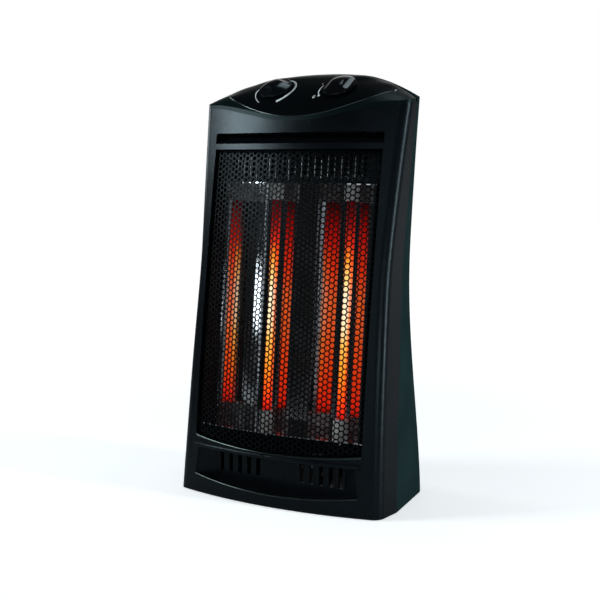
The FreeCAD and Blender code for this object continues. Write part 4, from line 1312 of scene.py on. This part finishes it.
@dataclass
class Studio:
    """Pale floor, soft lamps, white surroundings and the camera."""

    floor_half: float = 6.0
    floor_drop: float = 0.2 * MM
    floor_lines: int = 5
    floor_cloud_scale: float = 3
    floor_shares: Range = (0.8, 0.82)
    floor_roughness: float = 0.8
    floor_specular: float = 0.1
    floor_glow_reach: Range = (0.2, 1.8)
    floor_glow: Range = (0.55, 1.0)
    floor_gloss_range: Range = (0.0, 4.0)
    air_gloss_range: Range = (0.5, 0.95)
    air_colour: Colour = (0.8, 0.9, 0.95)
    air_strength: float = 0.03
    lens: float = 70.8
    sensor: float = 36.0
    camera_place: Triple = (0.80655, -1.35633, 0.44898)
    camera_tilt: float = math.radians(83.23)
    camera_turn: float = math.radians(31)

    def floor(self) -> None:
        """Builds the floor: a flat grid, white where it is seen, pale where it only reflects light."""
        line = np.linspace(-self.floor_half, self.floor_half, self.floor_lines)
        x, y = np.meshgrid(line, line, indexing="ij")
        points = np.stack([x, y, np.full_like(x, -self.floor_drop)], -1).reshape(-1, 3)
        faces = Surface.grid_faces(self.floor_lines, self.floor_lines, False, False)
        piece = Surface.from_faces("floor", points, faces, False)
        shader = Shader("pale_floor")
        shader.mottle(shader.noise(self.floor_cloud_scale, octaves=2), WHITE, self.floor_shares)
        shader.set(Roughness=self.floor_roughness, Specular_IOR_Level=self.floor_specular)
        shader.set(Emission_Color=(*WHITE, 1))
        reach = shader.nodes.new("ShaderNodeVectorMath")
        reach.operation = "LENGTH"
        shader.links.new(shader.place(), reach.inputs[0])
        rise = shader.remap(reach.outputs["Value"], self.floor_glow_reach, self.floor_glow, smooth=True)
        seen = shader.seen_rays(shader.place(), self.floor_gloss_range)
        shader.join(shader.calculate("MULTIPLY", rise, seen), "Emission Strength")
        put_on(piece, shader.material)

    def lamps(self) -> None:
        """Hangs the lamps: boxes at the left and overhead, a strip at the right and cards all round."""
        for lamp in (
            SoftLamp("left_box", (-1.38, -1.0, 1.0), (0.6, 0.4), power=2.6, spread=math.radians(60)),
            SoftLamp("right_card", (1.33, -1.35, 0.3), (0.7, 0.16), power=4),
            SoftLamp("right_strip", (1.88, 0.14, 0.5), (0.16, 1.2), power=28),
            SoftLamp("front_card", (0.25, -2.2, 0.65), (1.0, 1.2), power=4),
            SoftLamp("side_card", (-1.7, 0.15, 0.8), (0.5, 0.5), power=6),
            SoftLamp("overhead_box", (0.0, 0.3, 2.2), (0.8, 0.8), power=8),
        ):
            lamp.hang()

    def surroundings(self) -> None:
        """Sets the world: white to the eye, white behind the object to gloss and glass, else dim."""
        world = bpy.data.worlds.new("studio_air")
        bpy.context.scene.world = world
        tree = NodeTree(world)
        soft = tree.nodes["Background"]
        soft.inputs["Color"].default_value = (*self.air_colour, 1)
        soft.inputs["Strength"].default_value = self.air_strength
        white = tree.nodes.new("ShaderNodeBackground")
        white.inputs["Color"].default_value = (*WHITE, 1)
        coordinates = tree.nodes.new("ShaderNodeTexCoord")
        seen = tree.seen_rays(coordinates.outputs["Generated"], self.air_gloss_range)
        mix = tree.nodes.new("ShaderNodeMixShader")
        tree.links.new(seen, mix.inputs["Fac"])
        tree.links.new(soft.outputs["Background"], mix.inputs[1])
        tree.links.new(white.outputs["Background"], mix.inputs[2])
        tree.links.new(mix.outputs["Shader"], tree.nodes["World Output"].inputs["Surface"])

    def camera(self) -> None:
        """Puts the camera at the photograph's viewing angle."""
        data = bpy.data.cameras.new("photo_view")
        data.lens = self.lens
        data.sensor_width = self.sensor
        camera = bpy.data.objects.new("photo_view", data)
        camera.location = self.camera_place
        camera.rotation_euler = (self.camera_tilt, 0, self.camera_turn)
        bpy.context.scene.collection.objects.link(camera)
        bpy.context.scene.camera = camera

    def build(self) -> None:
        """Sets up the whole studio."""
        self.floor()
        self.lamps()
        self.surroundings()
        self.camera()
        bpy.context.scene.view_settings.view_transform = "Standard"


def main() -> None:
    """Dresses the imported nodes, adds the finer pieces and sets up the studio."""
    logging.basicConfig(level=logging.INFO, format="%(message)s")
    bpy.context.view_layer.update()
    form = CaseForm()
    chamber = ChamberFrame(form)
    guard = GuardSheet(form)
    recess_rim = EdgeRim(form, "recess_rim", half_width=125 * MM, end_height=25 * MM, middle_height=16 * MM,
                         radius=1.3 * MM)
    opening_rim = EdgeRim(form, "opening_rim", half_width=127 * MM, end_height=guard.bottom_end,
                          middle_height=guard.bottom_middle, radius=2 * MM)
    slots = CadDressing(chamber).dress()
    ink = DialInk("dial_ink", (0.85, 0.86, 0.86)).material()
    # Metal for the panel's edge bead, which stands in for the highlight along the trim's inner lip.
    edge = SheetMetal("panel_lip_highlight", (0.12, 0.14, 0.14), (0.12, 0.2)).material()
    # The rims' reflections carry a painted greenish-white tint, the colour of the highlight along the lip.
    lip = MouldedPlastic("gloss_rim", (0.004, 0.006, 0.006), (0.14, 0.2), painted_reflection_tint=(0.8, 1.0, 0.9),
                         grain_depth=0).material()
    # Bright metal for the rib beads, which stands in for the highlights along the louvre's black ribs.
    rib_highlight_metal = SheetMetal("rib_highlight_edge", (0.6, 0.62, 0.62), (0.25, 0.35)).material()
    pieces = [(guard.build(), slots["guard_black"])]
    pieces += [(HeatingElement(chamber, side).build(), slots["glow_wire"]) for side in Side]
    pieces += [(mark, ink) for dial in (ThermostatPrint(form), SelectorPrint(form)) for mark in dial.build()]
    pieces.append((PanelEdge(form).build(), edge))
    pieces += [(rim.build(), lip) for rim in (recess_rim, opening_rim)]
    pieces += [(bead, rib_highlight_metal) for bead in LouvreEdges(chamber).build()]
    for piece, material in pieces:
        put_on(piece, material)
        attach(piece, Body.CASE.value)
        log.info("piece %s: %d faces", piece.name, len(piece.data.polygons))
    Studio().build()


if __name__ == "__main__":
    main()
